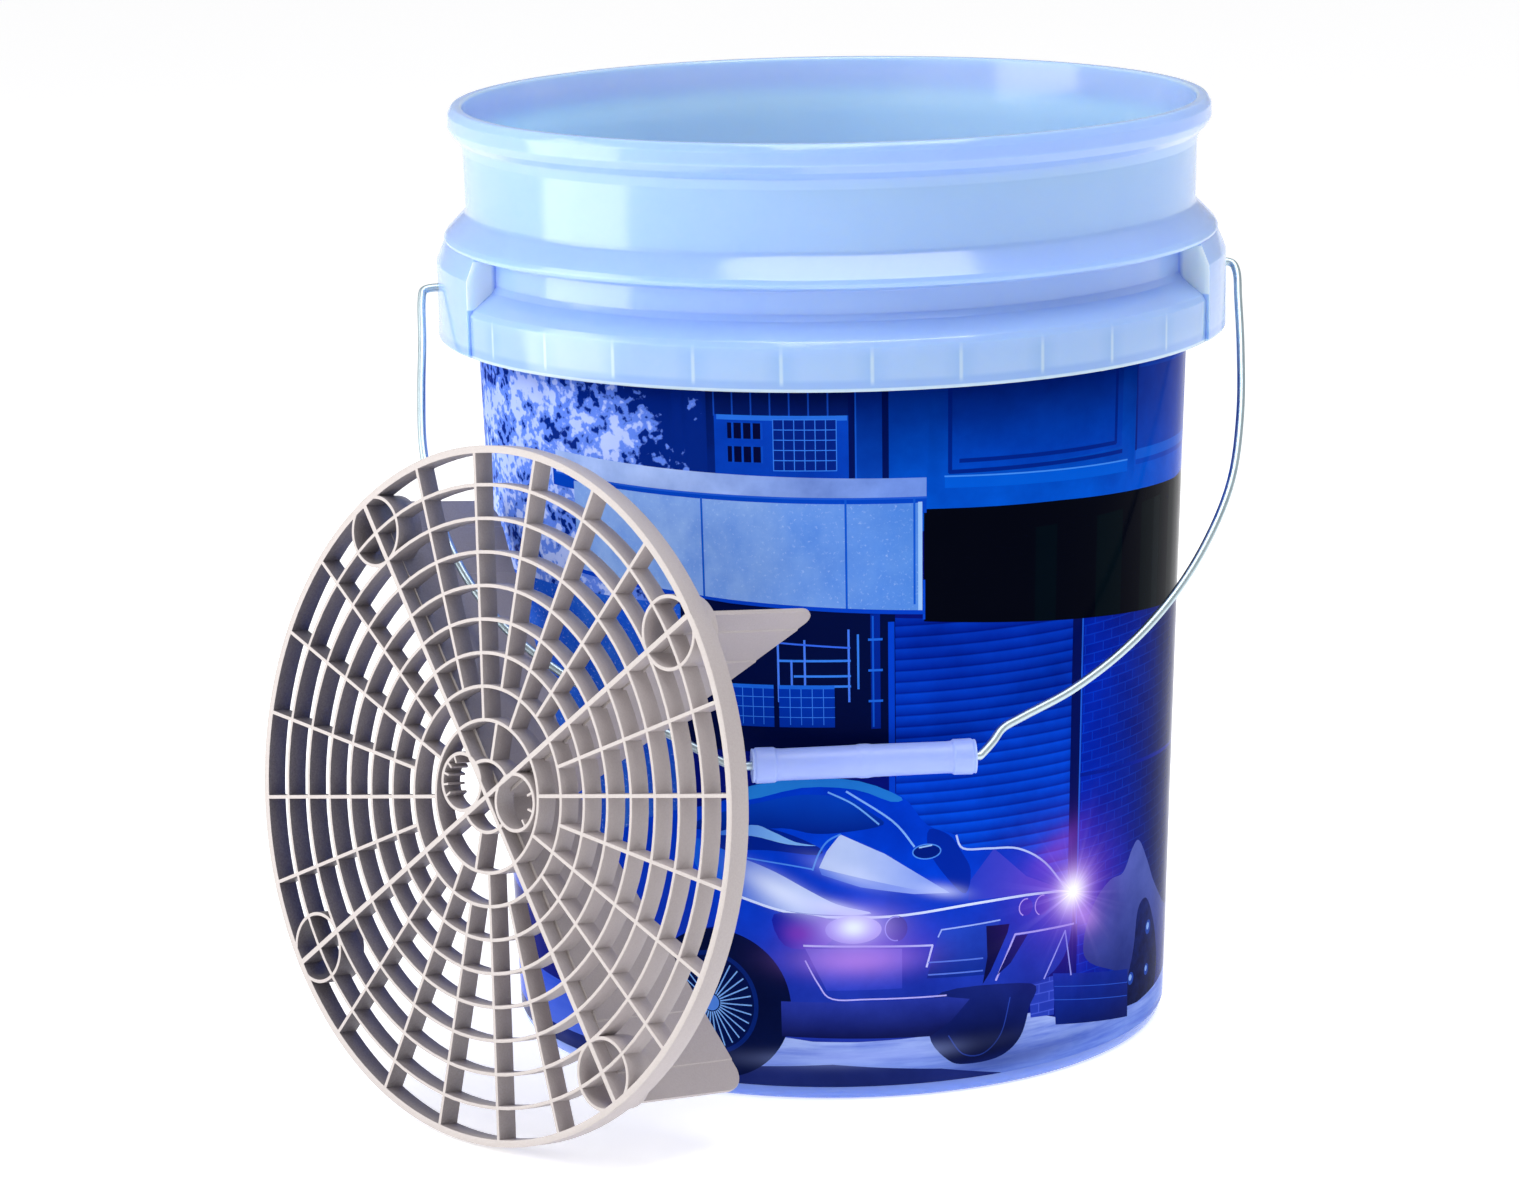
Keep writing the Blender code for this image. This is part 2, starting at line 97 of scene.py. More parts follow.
# Dirt guard, in millimetres, drawn flat with its face towards +Z
GUARD_R = 131.4
GUARD_DEPTH = 8.5
GUARD_LEAN = 8.4
GUARD_FACING = 218.3
GUARD_X = -150.2
GUARD_Y = -144.6
RIM_WALL = 2.8
RING_WALL = 1.4
FIRST_RING_R = 28.75
RING_STEP = 12.57
RINGS = 8
SPOKES = 24
FIRST_SPOKE = 10.0
SPOKE_WALL = 1.45
ARM_WALL = 2.1
ARM_SPOKES = (2, 8, 14, 20)
SOCKET_R = 13.2
SOCKET_AT = 117.4
SOCKET_DEPTH = 12.0
CUP_WALL = 1.1
HUB_CIRCLES = ((0.0, 0.0, 13.5), (-14.5, 3.0, 10.8), (16.0, 0.5, 10.6))
FIN_OUTER_R = 130.4
FIN_DEPTH = 66.0
FIN_HUB_DEPTH = 44.0
FIN_CORNER = 8.0
# From each radius out, half the fin's thickness
FIN_STEPS = ((118.5, 0.9), (97.0, 1.3), (76.0, 1.7), (50.0, 2.0), (0.0, 2.2))


def rgb(red, green, blue):
    """The linear colour of a screen colour given from 0 to 255."""
    shares = [c / 255 for c in (red, green, blue)]
    return tuple((c + 0.055) ** 2.4 / 1.055 ** 2.4 if c > 0.04 else c / 12.92 for c in shares)


def tone(red, green, blue):
    """The same linear colour with an alpha of 1, as a colour socket takes it."""
    return (*rgb(red, green, blue), 1)


# ---------------------------------------------------------------- materials


class Surface:
    """One material, with short ways to add nodes to it."""

    def __init__(self, name, **settings):
        self.material = bpy.data.materials.new(name)
        self.material.use_nodes = True
        self.tree = self.material.node_tree
        self.shader = self.tree.nodes["Principled BSDF"]
        for name, value in settings.items():
            self.shader.inputs[name.replace("_", " ")].default_value = value

    def node(self, kind, inputs, **settings):
        node = self.tree.nodes.new("ShaderNode" + kind)
        for name, value in settings.items():
            setattr(node, name, value)
        for socket, value in inputs.items():
            if isinstance(value, bpy.types.NodeSocket):
                self.tree.links.new(value, node.inputs[socket])
            else:
                node.inputs[socket].default_value = value
        return node

    def math(self, operation, a, b=0.0):
        return self.node("Math", {0: a, 1: b}, operation=operation).outputs[0]

    def times(self, a, *factors):
        for factor in factors:
            a = self.math("MULTIPLY", a, factor)
        return a

    def mix(self, share, a, b, blend="MIX"):
        inputs = {0: share, 6: a, 7: b}
        return self.node("Mix", inputs, data_type="RGBA", blend_type=blend, clamp_result=False).outputs[2]

    def noise(self, vector, scale, detail=3.0, roughness=0.5):
        inputs = {"Vector": vector, "Scale": scale, "Detail": detail, "Roughness": roughness}
        return self.node("TexNoise", inputs).outputs["Fac"]

    def between(self, value, low, high, to_low=0.0, to_high=1.0):
        """value from low to high, mapped to to_low to to_high and clamped."""
        inputs = {0: value, 1: low, 2: high, 3: to_low, 4: to_high}
        return self.node("MapRange", inputs).outputs[0]

    def place(self, vector, move=(0, 0, 0), turn=0.0, scale=(1, 1, 1)):
        inputs = {"Vector": vector, "Location": move, "Rotation": (0, 0, math.radians(turn)), "Scale": scale}
        return self.node("Mapping", inputs).outputs[0]

    def dot(self, a, b):
        return self.node("VectorMath", {0: a, 1: b}, operation="DOT_PRODUCT").outputs["Value"]

    def length(self, vector):
        return self.node("VectorMath", {0: vector}, operation="LENGTH").outputs["Value"]

    def parts(self, vector):
        return self.node("SeparateXYZ", {0: vector}).outputs

    def position(self):
        return self.node("TexCoord", {}).outputs["Object"]

    def normal(self):
        return self.node("NewGeometry", {}).outputs["Normal"]

    def from_axis(self, position):
        """The level vector from the bucket's axis to position."""
        return self.node("VectorMath", {0: position, 1: (1, 1, 0)}, operation="MULTIPLY").outputs[0]

    def attribute(self, name, output):
        return self.node("Attribute", {}, attribute_name=name).outputs[output]

    def bump(self, height, strength, distance):
        inputs = {"Height": height, "Strength": strength, "Distance": distance}
        normal = self.node("Bump", inputs).outputs[0]
        self.tree.links.new(normal, self.shader.inputs["Normal"])

    def set(self, socket, value):
        self.tree.links.new(value, self.shader.inputs[socket])


def ribs_showing_through(surface, where):
    """How much of each rib, painted as a pale line, and of the painted shade beside it, shows through the
    translucent skirt.
    """
    x, y, z = surface.parts(where)
    # the ribs on the back are the front ones turned half round, so both halves are measured on the front
    front_x = surface.times(surface.math("SIGN", y), -1.0, x)
    front_y = surface.times(surface.math("ABSOLUTE", y), -1.0)
    turn = surface.math("ARCTAN2", front_y, front_x)
    from_middle = surface.math("SUBTRACT", turn, math.radians(RIB_TURN))
    steps = surface.times(from_middle, 1 / math.radians(RIB_STEP))
    beside = surface.math("SUBTRACT", surface.math("FRACT", surface.math("ADD", steps, 0.5)), 0.5)
    away = surface.times(surface.math("ABSOLUTE", beside), math.radians(RIB_STEP) * SKIRT_R)
    radius = surface.length(surface.from_axis(where))
    on_skirt = surface.between(radius, (SKIRT_R - 2.6) * MM, (SKIRT_R - 1.6) * MM)
    over_foot = surface.between(z, (SKIRT_LOW + 2.0) * MM, (SKIRT_LOW + 4.0) * MM)
    under_top = surface.between(z, (SKIRT_HIGH - 1.0) * MM, (SKIRT_HIGH - 6.0) * MM)
    ribbed = surface.between(surface.math("ABSOLUTE", steps), RIBS / 2, RIBS / 2 + 0.02, 1.0, 0.0)
    showing = surface.times(on_skirt, over_foot, under_top, ribbed)
    rib = surface.times(surface.between(away, 0.3, 1.0, 0.5, 0.0), showing)
    shade = surface.times(surface.between(away, 1.0, 7.5, 0.5, 0.0), showing)
    return rib, shade


def skirt_edges(surface, height, radius):
    """Painted shade at the skirt's foot, where the wall behind it darkens it, and a painted pale light in its
    lower edge.
    """
    foot = surface.times(surface.between(height, (SKIRT_LOW + 5.0) * MM, (SKIRT_LOW + 3.6) * MM),
                         surface.between(radius, (SKIRT_R - 2.6) * MM, (SKIRT_R - 1.6) * MM, 0.0, 0.42))
    edge = surface.times(surface.between(height, (SKIRT_LOW + 1.5) * MM, (SKIRT_LOW + 1.1) * MM),
                         surface.between(radius, (SKIRT_R - 2.6) * MM, (SKIRT_R - 2.2) * MM, 0.0, 0.7))
    return foot, edge


def ear_end_painted_light(surface, height, radius, outwards):
    """The end faces of the ears over the skirt, which look nearly white: painted light, standing in for the
    light that comes through the translucent plastic.
    """
    beyond_wall = surface.between(radius, EAR_FACE_R * MM, (EAR_FACE_R + 1.7) * MM)
    over_skirt = surface.between(height, (SKIRT_HIGH - 0.1) * MM, (SKIRT_HIGH + 0.5) * MM)
    under_top = surface.between(height, (EAR_TOP - 1.0) * MM, (EAR_TOP - 1.6) * MM, 0.0, 0.9)
    return surface.times(beyond_wall, over_skirt, under_top, surface.between(outwards, 0.07, 0.04))


def pail_plastic():
    """Glossy translucent polypropylene: milky, slightly uneven, with a faint flow wave and fine scuffs."""
    surface = Surface("pail_plastic", Subsurface_Weight=1.0, Subsurface_Scale=0.0055, Transmission_Weight=0.2,
                      Subsurface_Radius=(0.7, 0.85, 1.0), IOR=1.49, Specular_IOR_Level=0.8)
    where = surface.position()
    height = surface.parts(where)[2]
    out = surface.from_axis(where)
    radius = surface.length(out)
    outwards = surface.dot(surface.normal(), out)
    cloud = surface.noise(where, 14.0, 3.0)
    outside = surface.mix(cloud, tone(153, 187, 247), tone(169, 199, 252))
    # the inner faces get a paler copy of the plastic than the outer ones: painted light
    inside = surface.mix(cloud, tone(172, 202, 246), tone(190, 215, 252))
    milky = surface.mix(surface.between(outwards, 0.0, -0.06), outside, inside)
    # painted light: the ears' end faces turned nearly white
    milky = surface.mix(ear_end_painted_light(surface, height, radius, outwards), milky, tone(228, 240, 255))
    foot, edge = skirt_edges(surface, height, radius)
    # painted shade at the skirt's foot, then a painted pale light along its lower edge
    milky = surface.mix(foot, milky, tone(112, 156, 232))
    milky = surface.mix(edge, milky, tone(206, 230, 255))
    # painted shade: darker blue below the top of the label, where the printed film behind the wall keeps the
    # light out
    film_shade = surface.between(height, LABEL_HIGH * MM, (LABEL_HIGH - 4.0) * MM, 0.0, 0.65)
    milky = surface.mix(film_shade, milky, tone(84, 124, 226))
    rib, shade = ribs_showing_through(surface, where)
    # painted shade beside each rib, then a painted pale line for each rib seen through the skirt
    milky = surface.mix(shade, milky, tone(140, 180, 240))
    surface.set("Base Color", surface.mix(rib, milky, tone(218, 238, 255)))
    scuffs = surface.noise(surface.place(where, scale=(60, 60, 900)), 1.0, 2.0)
    surface.set("Roughness", surface.between(scuffs, 0.35, 0.75, 0.1, 0.2))
    wave = surface.noise(surface.place(where, scale=(9, 9, 30)), 1.0, 1.0)
    surface.bump(wave, 0.12, 0.002)
    return surface.material


def grip_plastic():
    surface = Surface("grip_plastic", Subsurface_Weight=0.6, Subsurface_Scale=0.006, IOR=1.49,
                      Subsurface_Radius=(0.7, 0.8, 1.0))
    where = surface.position()
    cloud = surface.noise(where, 60.0, 3.0)
    surface.set("Base Color", surface.mix(cloud, tone(148, 168, 240), tone(162, 182, 247)))
    grain = surface.noise(where, 900.0, 2.0)
    surface.set("Roughness", surface.between(grain, 0.3, 0.7, 0.3, 0.42))
    surface.bump(grain, 0.15, 0.0004)
    return surface.material


def zinc_wire():
    """Bright zinc over drawn wire: fine lengthwise lines and slightly cloudy roughness."""
    surface = Surface("zinc_wire", Metallic=1.0)
    where = surface.position()
    cloud = surface.noise(where, 120.0, 4.0, 0.6)
    surface.set("Base Color", surface.mix(cloud, tone(170, 192, 202), tone(200, 214, 218)))
    surface.set("Roughness", surface.between(cloud, 0.3, 0.7, 0.34, 0.46))
    lines = surface.noise(surface.place(where, scale=(300, 1800, 300)), 1.0, 2.0)
    surface.bump(lines, 0.06, 0.0002)
    return surface.material


def guard_turn():
    """The turn that stands the guard up and leans it on the bucket."""
    lean = math.radians(90 - GUARD_LEAN)
    return Matrix.Rotation(math.radians(GUARD_FACING + 90), 4, "Z") @ Matrix.Rotation(lean, 4, "X")


def guard_plastic():
    """Satin warm grey plastic with a fine spark texture, with painted light making the front faces paler and
    painted shade making it darker to the left.
    """
    surface = Surface("guard_plastic", Subsurface_Weight=0.06, Subsurface_Scale=0.002, IOR=1.48,
                      Subsurface_Radius=(1.0, 0.9, 0.8))
    where = surface.position()
    cloud = surface.noise(where, 22.0, 4.0)
    grey = surface.mix(cloud, tone(158, 149, 149), tone(176, 167, 167))
    across = surface.parts(where)[0]
    # painted shade: the guard darker towards its left side
    grey = surface.mix(surface.between(across, -0.12, -0.21, 0.0, 0.88), grey, tone(66, 60, 66))
    # painted light: the faces that look out of the guard's front are paler
    front = surface.dot(surface.normal(), tuple(guard_turn() @ Vector((0, 0, 1))))
    grey = surface.mix(surface.between(front, 0.7, 0.95), grey, tone(173, 165, 162))
    grain = surface.noise(where, 1400.0, 2.0)
    sparks = surface.between(grain, 0.3, 0.7, 0.0, 0.06)
    surface.set("Base Color", surface.mix(sparks, grey, (0.9, 0.88, 0.86, 1)))
    surface.set("Roughness", surface.between(cloud, 0.3, 0.7, 0.38, 0.5))
    surface.bump(grain, 0.25, 0.0003)
    return surface.material


# ---------------------------------------------------------------- meshes


def object_from(bm, name, materials, body, smooth_angle=35.0, recalculate=True):
    if recalculate:
        bmesh.ops.recalc_face_normals(bm, faces=bm.faces)
    mesh = bpy.data.meshes.new(name)
    bm.to_mesh(mesh)
    bm.free()
    mesh.shade_smooth()
    mesh.set_sharp_from_angle(angle=math.radians(smooth_angle))
    for material in materials:
        mesh.materials.append(material)
    obj = bpy.data.objects.new(name, mesh)
    bpy.context.scene.collection.objects.link(obj)
    if body:
        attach(obj, body)
    return obj


def apply_modifiers(obj):
    """The object's mesh as its modifiers leave it."""
    bpy.context.view_layer.update()
    evaluated = obj.evaluated_get(bpy.context.evaluated_depsgraph_get())
    mesh = bpy.data.meshes.new_from_object(evaluated)
    obj.modifiers.clear()
    obj.data = mesh


def combine(target, operation, bm, name):
    """Joins or cuts target with the closed mesh bm, and applies it."""
    other = object_from(bm, name, [], None)
    step = target.modifiers.new(name, "BOOLEAN")
    step.operation = operation
    step.solver = "EXACT"
    step.object = other
    apply_modifiers(target)
    bpy.data.objects.remove(other)


def add_turned(bm, profile, segments, start=0.0, sweep=360.0):
    """Turns a closed (radius, height) outline, in millimetres, about Z."""
    whole = sweep >= 360.0
    count = segments if whole else segments + 1
    rings = []
    for radius, height in profile:
        if radius == 0.0:
            rings.append([bm.verts.new((0, 0, height * MM))] * count)
            continue
        angles = [math.radians(start + sweep * i / segments) for i in range(count)]
        rings.append([bm.verts.new((radius * math.cos(a) * MM, radius * math.sin(a) * MM, height * MM))
                      for a in angles])
    for ring, following in zip(rings, rings[1:] + rings[:1]):
        for i in range(segments):
            j = (i + 1) % count
            corners = list(dict.fromkeys((ring[i], ring[j], following[j], following[i])))
            if len(corners) > 2:
                bm.faces.new(corners)
    if not whole:
        bm.faces.new([ring[0] for ring in rings])
        bm.faces.new([ring[-1] for ring in rings])


def rounded(outline, steps=4):
    """An outline of (x, y, corner radius) with each corner replaced by an arc."""
    points = []
    for i, (x, y, radius) in enumerate(outline):
        here = Vector((x, y))
        before = Vector(outline[i - 1][:2]) - here
        after = Vector(outline[(i + 1) % len(outline)][:2]) - here
        if radius == 0.0:
            points.append((x, y))
            continue
        half = before.angle(after) / 2
        reach = min(radius / math.tan(half), 0.49 * before.length, 0.49 * after.length)
        start, end = here + before.normalized() * reach, here + after.normalized() * reach
        for k in range(steps + 1):
            t = k / steps
            points.append(tuple(start * (1 - t) ** 2 + here * 2 * t * (1 - t) + end * t ** 2))
    return points


def cone_radius(z):
    return BASE_R + (CONE_TOP_R - BASE_R) * z / CONE_TOP_Z


# ---------------------------------------------------------------- bucket


def bucket_outline():
    """The wall in section, as (radius, height, corner radius): up the outside and down the inside."""
    base = [(0, 0, 0), (45, 0, 1), (47, 2, 1), (116, 2, 1), (118, 0, 1), (BASE_R - 0.1, 0, 4.5)]
    skirt = [(cone_radius(297.8), 297.8, 1), (153.4, 297, 1), (153.7, SKIRT_LOW, 0.5),
             (155.4, SKIRT_LOW, 0.6), (SKIRT_R, 298.2, 1.6), (154.2, SKIRT_HIGH, 1.2), (146.2, 306.6, 1.8),
             (144.5, 309, 1.2)]
    flange = [(144.4, 317.5, 1.4), (145.8, 319.7, 1), (153.1, 319.9, 0.5), (153.7, 321.4, 0.8),
              (152.7, 323.2, 1.2), (148.8, 327.3, 3), (144.8, 331.4, 3)]
    lip = [(145.3, 355.5, 3), (146.4, 359.4, 2), (149.2, 362, 2), (151, 365, 2), (150.9, 370, 2),
           (149.2, 373, 1.6), (145.2, 373, 1.4)]
    inside = [(143.3, 350, 60), (142.3, 322, 90), (cone_radius(CONE_TOP_Z) - WALL, CONE_TOP_Z, 60),
              (cone_radius(5) - WALL, 5, 3), (0, 5, 0)]
    return rounded(base + skirt + flange + lip + inside)


def skirt_ribs():
    """Thin upright ribs behind the skirt, on the front and on the back."""
    bm = bmesh.new()
    inner, outer = CONE_TOP_R - 1.4, 154.6
    low, high = 283.9, 299.6
    size = Vector((outer - inner, 1.4, high - low)) * MM
    for side in (0, 180):
        for i in range(RIBS):
            angle = math.radians(side + RIB_TURN + (i - RIBS // 2) * RIB_STEP)
            middle = Vector(((inner + outer) / 2, 0, (low + high) / 2)) * MM
            made = bmesh.ops.create_cube(bm, size=1.0)
            bmesh.ops.scale(bm, vec=size, verts=made["verts"])
            place = Matrix.Rotation(angle, 4, "Z") @ Matrix.Translation(middle)
            bmesh.ops.transform(bm, matrix=place, verts=made["verts"])
    return bm


def ear_blocks():
    """The two ears that carry the bail, one on each side."""
    bm = bmesh.new()
    inner, outer, low = CONE_TOP_R - 1.2, 156.8, SKIRT_LOW + 0.5
    block = [(inner, low, 0), (outer, low, 0.8), (outer, 312, 2), (153.2, EAR_TOP, 1),
             (inner + 3.2, EAR_TOP, 0), (inner, 300, 0)]
    for start in (EAR_START, EAR_START + 180):
        add_turned(bm, rounded(block, 3), 40, start=start, sweep=EAR_SWEEP)
    return bm


def ear_bores():
    """A blind bore for each wire end, with a shallow dish round its mouth."""
    bm = bmesh.new()
    along_x = Matrix.Rotation(math.pi / 2, 4, "Y")
    for side in (-1, 1):
        for radius, start, end in ((2.1, 147.8, 160.8), (3.6, 156.2, 160.8)):
            middle = (side * (start + end) / 2 * MM, 0, PIVOT.z)
            bmesh.ops.create_cone(bm, cap_ends=True, segments=40, radius1=radius * MM, radius2=radius * MM,
                                  depth=(end - start) * MM, matrix=Matrix.Translation(middle) @ along_x)
    return bm


def make_bucket():
    bm = bmesh.new()
    add_turned(bm, bucket_outline(), TURN_STEPS)
    bucket = object_from(bm, "pail", [pail_plastic()], "bucket")
    combine(bucket, "UNION", skirt_ribs(), "skirt_ribs")
    combine(bucket, "UNION", ear_blocks(), "ear_blocks")
    combine(bucket, "DIFFERENCE", ear_bores(), "ear_bores")
    bucket.data.set_sharp_from_angle(angle=math.radians(32))
    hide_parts("bucket_shell")


# ---------------------------------------------------------------- the picture on the label

# The picture is drawn flat, in millimetres: across from its middle, and up from the floor. Later shapes
# cover earlier ones. The car, the street and the plants are generic.
NIGHT = (6, 18, 112)
INK = (4, 8, 52)
BLACK = (3, 5, 16)
LINE = (52, 122, 228)


def fade(low, high, from_z, to_z, axis=1):
    """Ink that goes from one colour to another up the picture, or across it where axis is 0."""
    def ink(*spot):
        t = min(max((spot[axis] - from_z) / (to_z - from_z), 0.0), 1.0)
        return tuple(a + (b - a) * t for a, b in zip(rgb(*low), rgb(*high)))
    return ink


def fade_across(left, right, from_s, to_s):
    return fade(left, right, from_s, to_s, axis=0)


def counterclockwise(outline):
    """The outline with its inside on the left, which the triangulation needs."""
    area = sum(a[0] * b[1] - b[0] * a[1] for a, b in zip(outline, outline[1:] + outline[:1]))
    return outline if area > 0 else outline[::-1]


def box(left, low, right, high):
    return [(left, low), (right, low), (right, high), (left, high)]


def smooth(points, closed=True, steps=5):
    """A curve through the points."""
    count = len(points)
    made = []
    for i in range(count if closed else count - 1):
        near = [(i + k) % count if closed else min(max(i + k, 0), count - 1) for k in (-1, 0, 1, 2)]
        p0, p1, p2, p3 = (Vector(points[k]) for k in near)
        for k in range(steps):
            t = k / steps
            spot = 0.5 * (2 * p1 + (p2 - p0) * t + (2 * p0 - 5 * p1 + 4 * p2 - p3) * t * t
                          + (3 * p1 - 3 * p2 + p3 - p0) * t ** 3)
            made.append(tuple(spot))
    return made if closed else made + [points[-1]]


def ellipse(s, z, across, up, count=28):
    turn = 2 * math.pi / count
    return [(s + across * math.cos(turn * i), z + up * math.sin(turn * i)) for i in range(count)]


def stroke(points, width):
    """Quads along a line of points."""
    quads = []
    for start, end in zip(points, points[1:]):
        start, end = Vector(start), Vector(end)
        along = (end - start).normalized()
        side = Vector((-along.y, along.x)) * (width / 2)
        tip = along * (width / 4)
        start, end = start - tip, end + tip
        quads.append([tuple(p) for p in (start + side, end + side, end - side, start - side)])
    return quads


class Picture:
    """Shapes in painting order, each with its ink (a screen colour or a fade) and its material's look."""

    def __init__(self):
        self.shapes = []

    def fill(self, outline, ink, look="plain"):
        self.shapes.append((outline, ink, look))

    def line(self, points, width, ink):
        for quad in stroke(points, width):
            self.fill(quad, ink)

    def blob(self, points, ink, look="plain", steps=4):
        """Fills a smooth closed curve through the points."""
        self.fill(smooth(points, steps=steps), ink, look)

    def curve(self, points, width, ink):
        """Draws a smooth line through the points."""
        self.line(smooth(points, closed=False), width, ink)

    def grid(self, left, low, right, high, columns, rows, width, ink):
        """Draws the columns' upright lines and then the rows' level lines, given by their positions."""
        for s in columns:
            self.line([(s, low), (s, high)], width, ink)
        for z in rows:
            self.line([(left, z), (right, z)], width, ink)


def paint_buildings(picture):
    """The night sky, the upper building on the left and the tree before it."""
    fill, line = picture.fill, picture.line
    fill(box(-216, 0, 216, 290), NIGHT)
    fill(box(-216, 60, -60, 204), fade((6, 44, 170), (20, 84, 206), 60, 204), "wall")
    # upper building with its cooling unit
    fill(box(-64, 245, 20, 290), fade((4, 34, 120), (2, 18, 74), 250, 284), "haze")
    for i in range(9):
        line([(-58 + 7 * i, 270), (-58 + 7 * i, 284)], 0.6, (20, 70, 176))
    fill(box(-44, 246, 6, 270.5), (6, 62, 180), "haze")
    fill(box(-43, 268.6, 5, 270.5), (40, 112, 220))
    for low in (252.5, 261.5):
        fill(box(-39, low, -26, low + 6), INK)
        for i in range(4):
            line([(-37 + 3.6 * i, low), (-37 + 3.6 * i, low + 6)], 0.8, (10, 72, 190))
    fill(box(-22, 249.5, 1, 269), (4, 34, 126))
    columns = [-22 + 23 / 6 * i for i in range(7)]
    rows = [249.5 + 3.9 * i for i in range(6)]
    picture.grid(-22, 249.5, 1, 269, columns, rows, 0.35, LINE)
    fill(box(6, 245, 20, 290), fade((6, 66, 176), (2, 34, 124), 248, 284), "haze")
    for s, width in ((6.5, 2.2), (19, 2.8)):
        line([(s, 245), (s, 290)], width, (2, 18, 84))
    line([(8, 245), (8, 290)], 0.5, (24, 92, 208))
    fill(box(-216, 196, -47, 290), (98, 134, 230), "foliage")


def paint_facade(picture):
    """The tall wall over the garage, with its framed window and ledges."""
    fill, line = picture.fill, picture.line
    fill(box(20, 225, 216, 290), fade((1, 80, 200), (3, 48, 146), 232, 286), "haze")
    fill(box(43, 247, 124, 284), fade((1, 66, 184), (4, 42, 136), 248, 280), "haze")
    for points in (((43, 284), (43, 247), (124, 245)), ((120, 284), (120, 249), (47, 251))):
        line(points, 1.6, (1, 36, 132))
    fill([(41, 241), (128, 236.5), (128, 241), (41, 245.5)], (2, 88, 206))
    line([(41, 245.5), (128, 241)], 0.6, (64, 136, 228))
    fill([(134, 238), (194, 235), (194, 272), (134, 276)],
         fade((1, 62, 176), (1, 42, 138), 240, 272), "haze")
    fill([(134, 240), (194, 237), (194, 241), (134, 244)], (12, 88, 200))
    line([(134, 244), (134, 284)], 1.4, (1, 32, 124))


def paint_gallery(picture):
    """The pale walled gallery on the left with its roof edge, and the dark passage under it."""
    fill, line = picture.fill, picture.line
    fill([(-120, 236), (34, 232), (34, 239), (-120, 244)], (4, 66, 186))
    fill([(-118, 241), (34, 238), (34, 245.6), (-118, 250)],
         fade_across((160, 184, 236), (108, 140, 216), -70, 20), "haze")
    line([(-118, 241), (34, 238)], 0.8, (30, 86, 200))
    fill([(-108, 239), (31.5, 236), (31.5, 194.5), (-40, 199), (-108, 205)],
         fade_across((150, 182, 234), (84, 136, 214), -60, 30), "wall")
    line([(31.6, 194), (31.6, 236)], 1.6, (150, 188, 236))
    for s in (4, 29.4, -50):
        line([(s, 195 + abs(s) / 14), (s, 238)], 0.8, (20, 84, 196))
    line([(-108, 204), (-40, 198.4), (33, 193.6)], 1.6, (6, 62, 190))
    fill([(-60, 200), (-40, 197.8), (22, 193.4), (22, 140), (-60, 140)], (2, 12, 58))
    for low, left in ((166, -22), (170, -16), (176, -22)):
        line([(left, low), (5, low)], 0.9, LINE)
    for s, top in ((-22, 186), (-12, 184), (4.5, 188), (-17, 176)):
        line([(s, 160), (s, top)], 0.8, (70, 122, 236))
    line([(8, 186), (8, 165)], 0.8, LINE)
    line([(-22, 183), (5, 181)], 0.7, (52, 100, 226))
    for left, right in ((-44, -24), (-22, -1)):
        fill(box(left, 150, right, 166.5), (2, 50, 166))
        fill(box(left, 165, right, 166.5), (28, 100, 214))
        columns = [left + (right - left) / 5 * i for i in range(1, 5)]
        rows = [150 + 3.9 * i for i in range(1, 4)]
        picture.grid(left, 151, right, 165, columns, rows, 0.3, LINE)
    line([(14.5, 150), (14.5, 193)], 3.6, (3, 36, 140))
    line([(13.6, 150), (13.6, 193)], 0.7, (16, 84, 200))
    for z in (160, 172, 184):
        line([(12, z), (17, z)], 0.9, (30, 100, 214))
    line([(20.5, 120), (20.5, 190)], 2.4, (4, 62, 196))


def eave(s):
    """The height of the garage opening's lower edge."""
    return 190 - 0.105 * (s - 33)


def paint_garage(picture):
    """The dark opening, with what hangs in it barely lit."""
    fill = picture.fill
    fill([(33, 233.5), (90, 231), (150, 227), (216, 222), (216, eave(216)), (33, eave(33))], BLACK)
    hanging = ((84, 10, (2, 11, 20)), (118, 16, (3, 13, 20)), (150, 20, (6, 14, 20)),
               (154, 6, (14, 22, 27)), (172, 8, (4, 12, 18)))
    for s, width, ink in hanging:
        left, right = s - width / 2, s + width / 2
        fill([(left, eave(left)), (right, eave(right)), (right, 222), (left, 222)], ink)
    picture.line([(33, 191), (33, 206)], 0.9, (10, 70, 200))


def paint_shutter_and_wall(picture):
    fill, line = picture.fill, picture.line
    fill([(22, 192), (98, 186), (98, 60), (22, 60)],
         fade((2, 64, 212), (1, 40, 168), 110, 186), "shutter")
    fill([(98, 186), (104, 185), (104, 60), (98, 60)], (2, 14, 84))
    line([(103.4, 60), (103.4, 185)], 0.8, (30, 92, 214))
    fill([(104, 185), (150, 178), (216, 172), (216, 10), (104, 10)],
         fade_across((1, 36, 168), (4, 22, 92), 110, 165), "brick")
    line([(104, 120), (216, 112)], 1.5, (2, 28, 140))


def paint_garden(picture):
    """Dusky trees and a dark planter beside the garage wall."""
    fill = picture.fill
    trees = [(108, 52), (114, 66), (124, 73), (134, 74), (141, 82), (147, 84), (156, 74), (166, 62),
             (182, 50), (200, 40), (204, 12), (150, 12), (138, 30), (112, 42)]
    picture.blob(trees, fade((24, 38, 116), (78, 92, 172), 24, 82), "haze", steps=5)
    planter = [(134, 14), (140, 28), (145, 40), (148, 55), (156, 58), (164, 50), (172, 36), (174, 22),
               (162, 9)]
    picture.blob(planter, fade((8, 18, 60), (8, 26, 96), 12, 54), "leaves", steps=5)
    for s, z, size in ((160, 44.7, 3.0), (143.1, 27.7, 2.6), (159.4, 27.2, 2.4)):
        fill(ellipse(s, z, size, size), (30, 66, 160))
        fill(ellipse(s - 0.4, z + 0.5, size * 0.5, size * 0.5), (128, 164, 226))


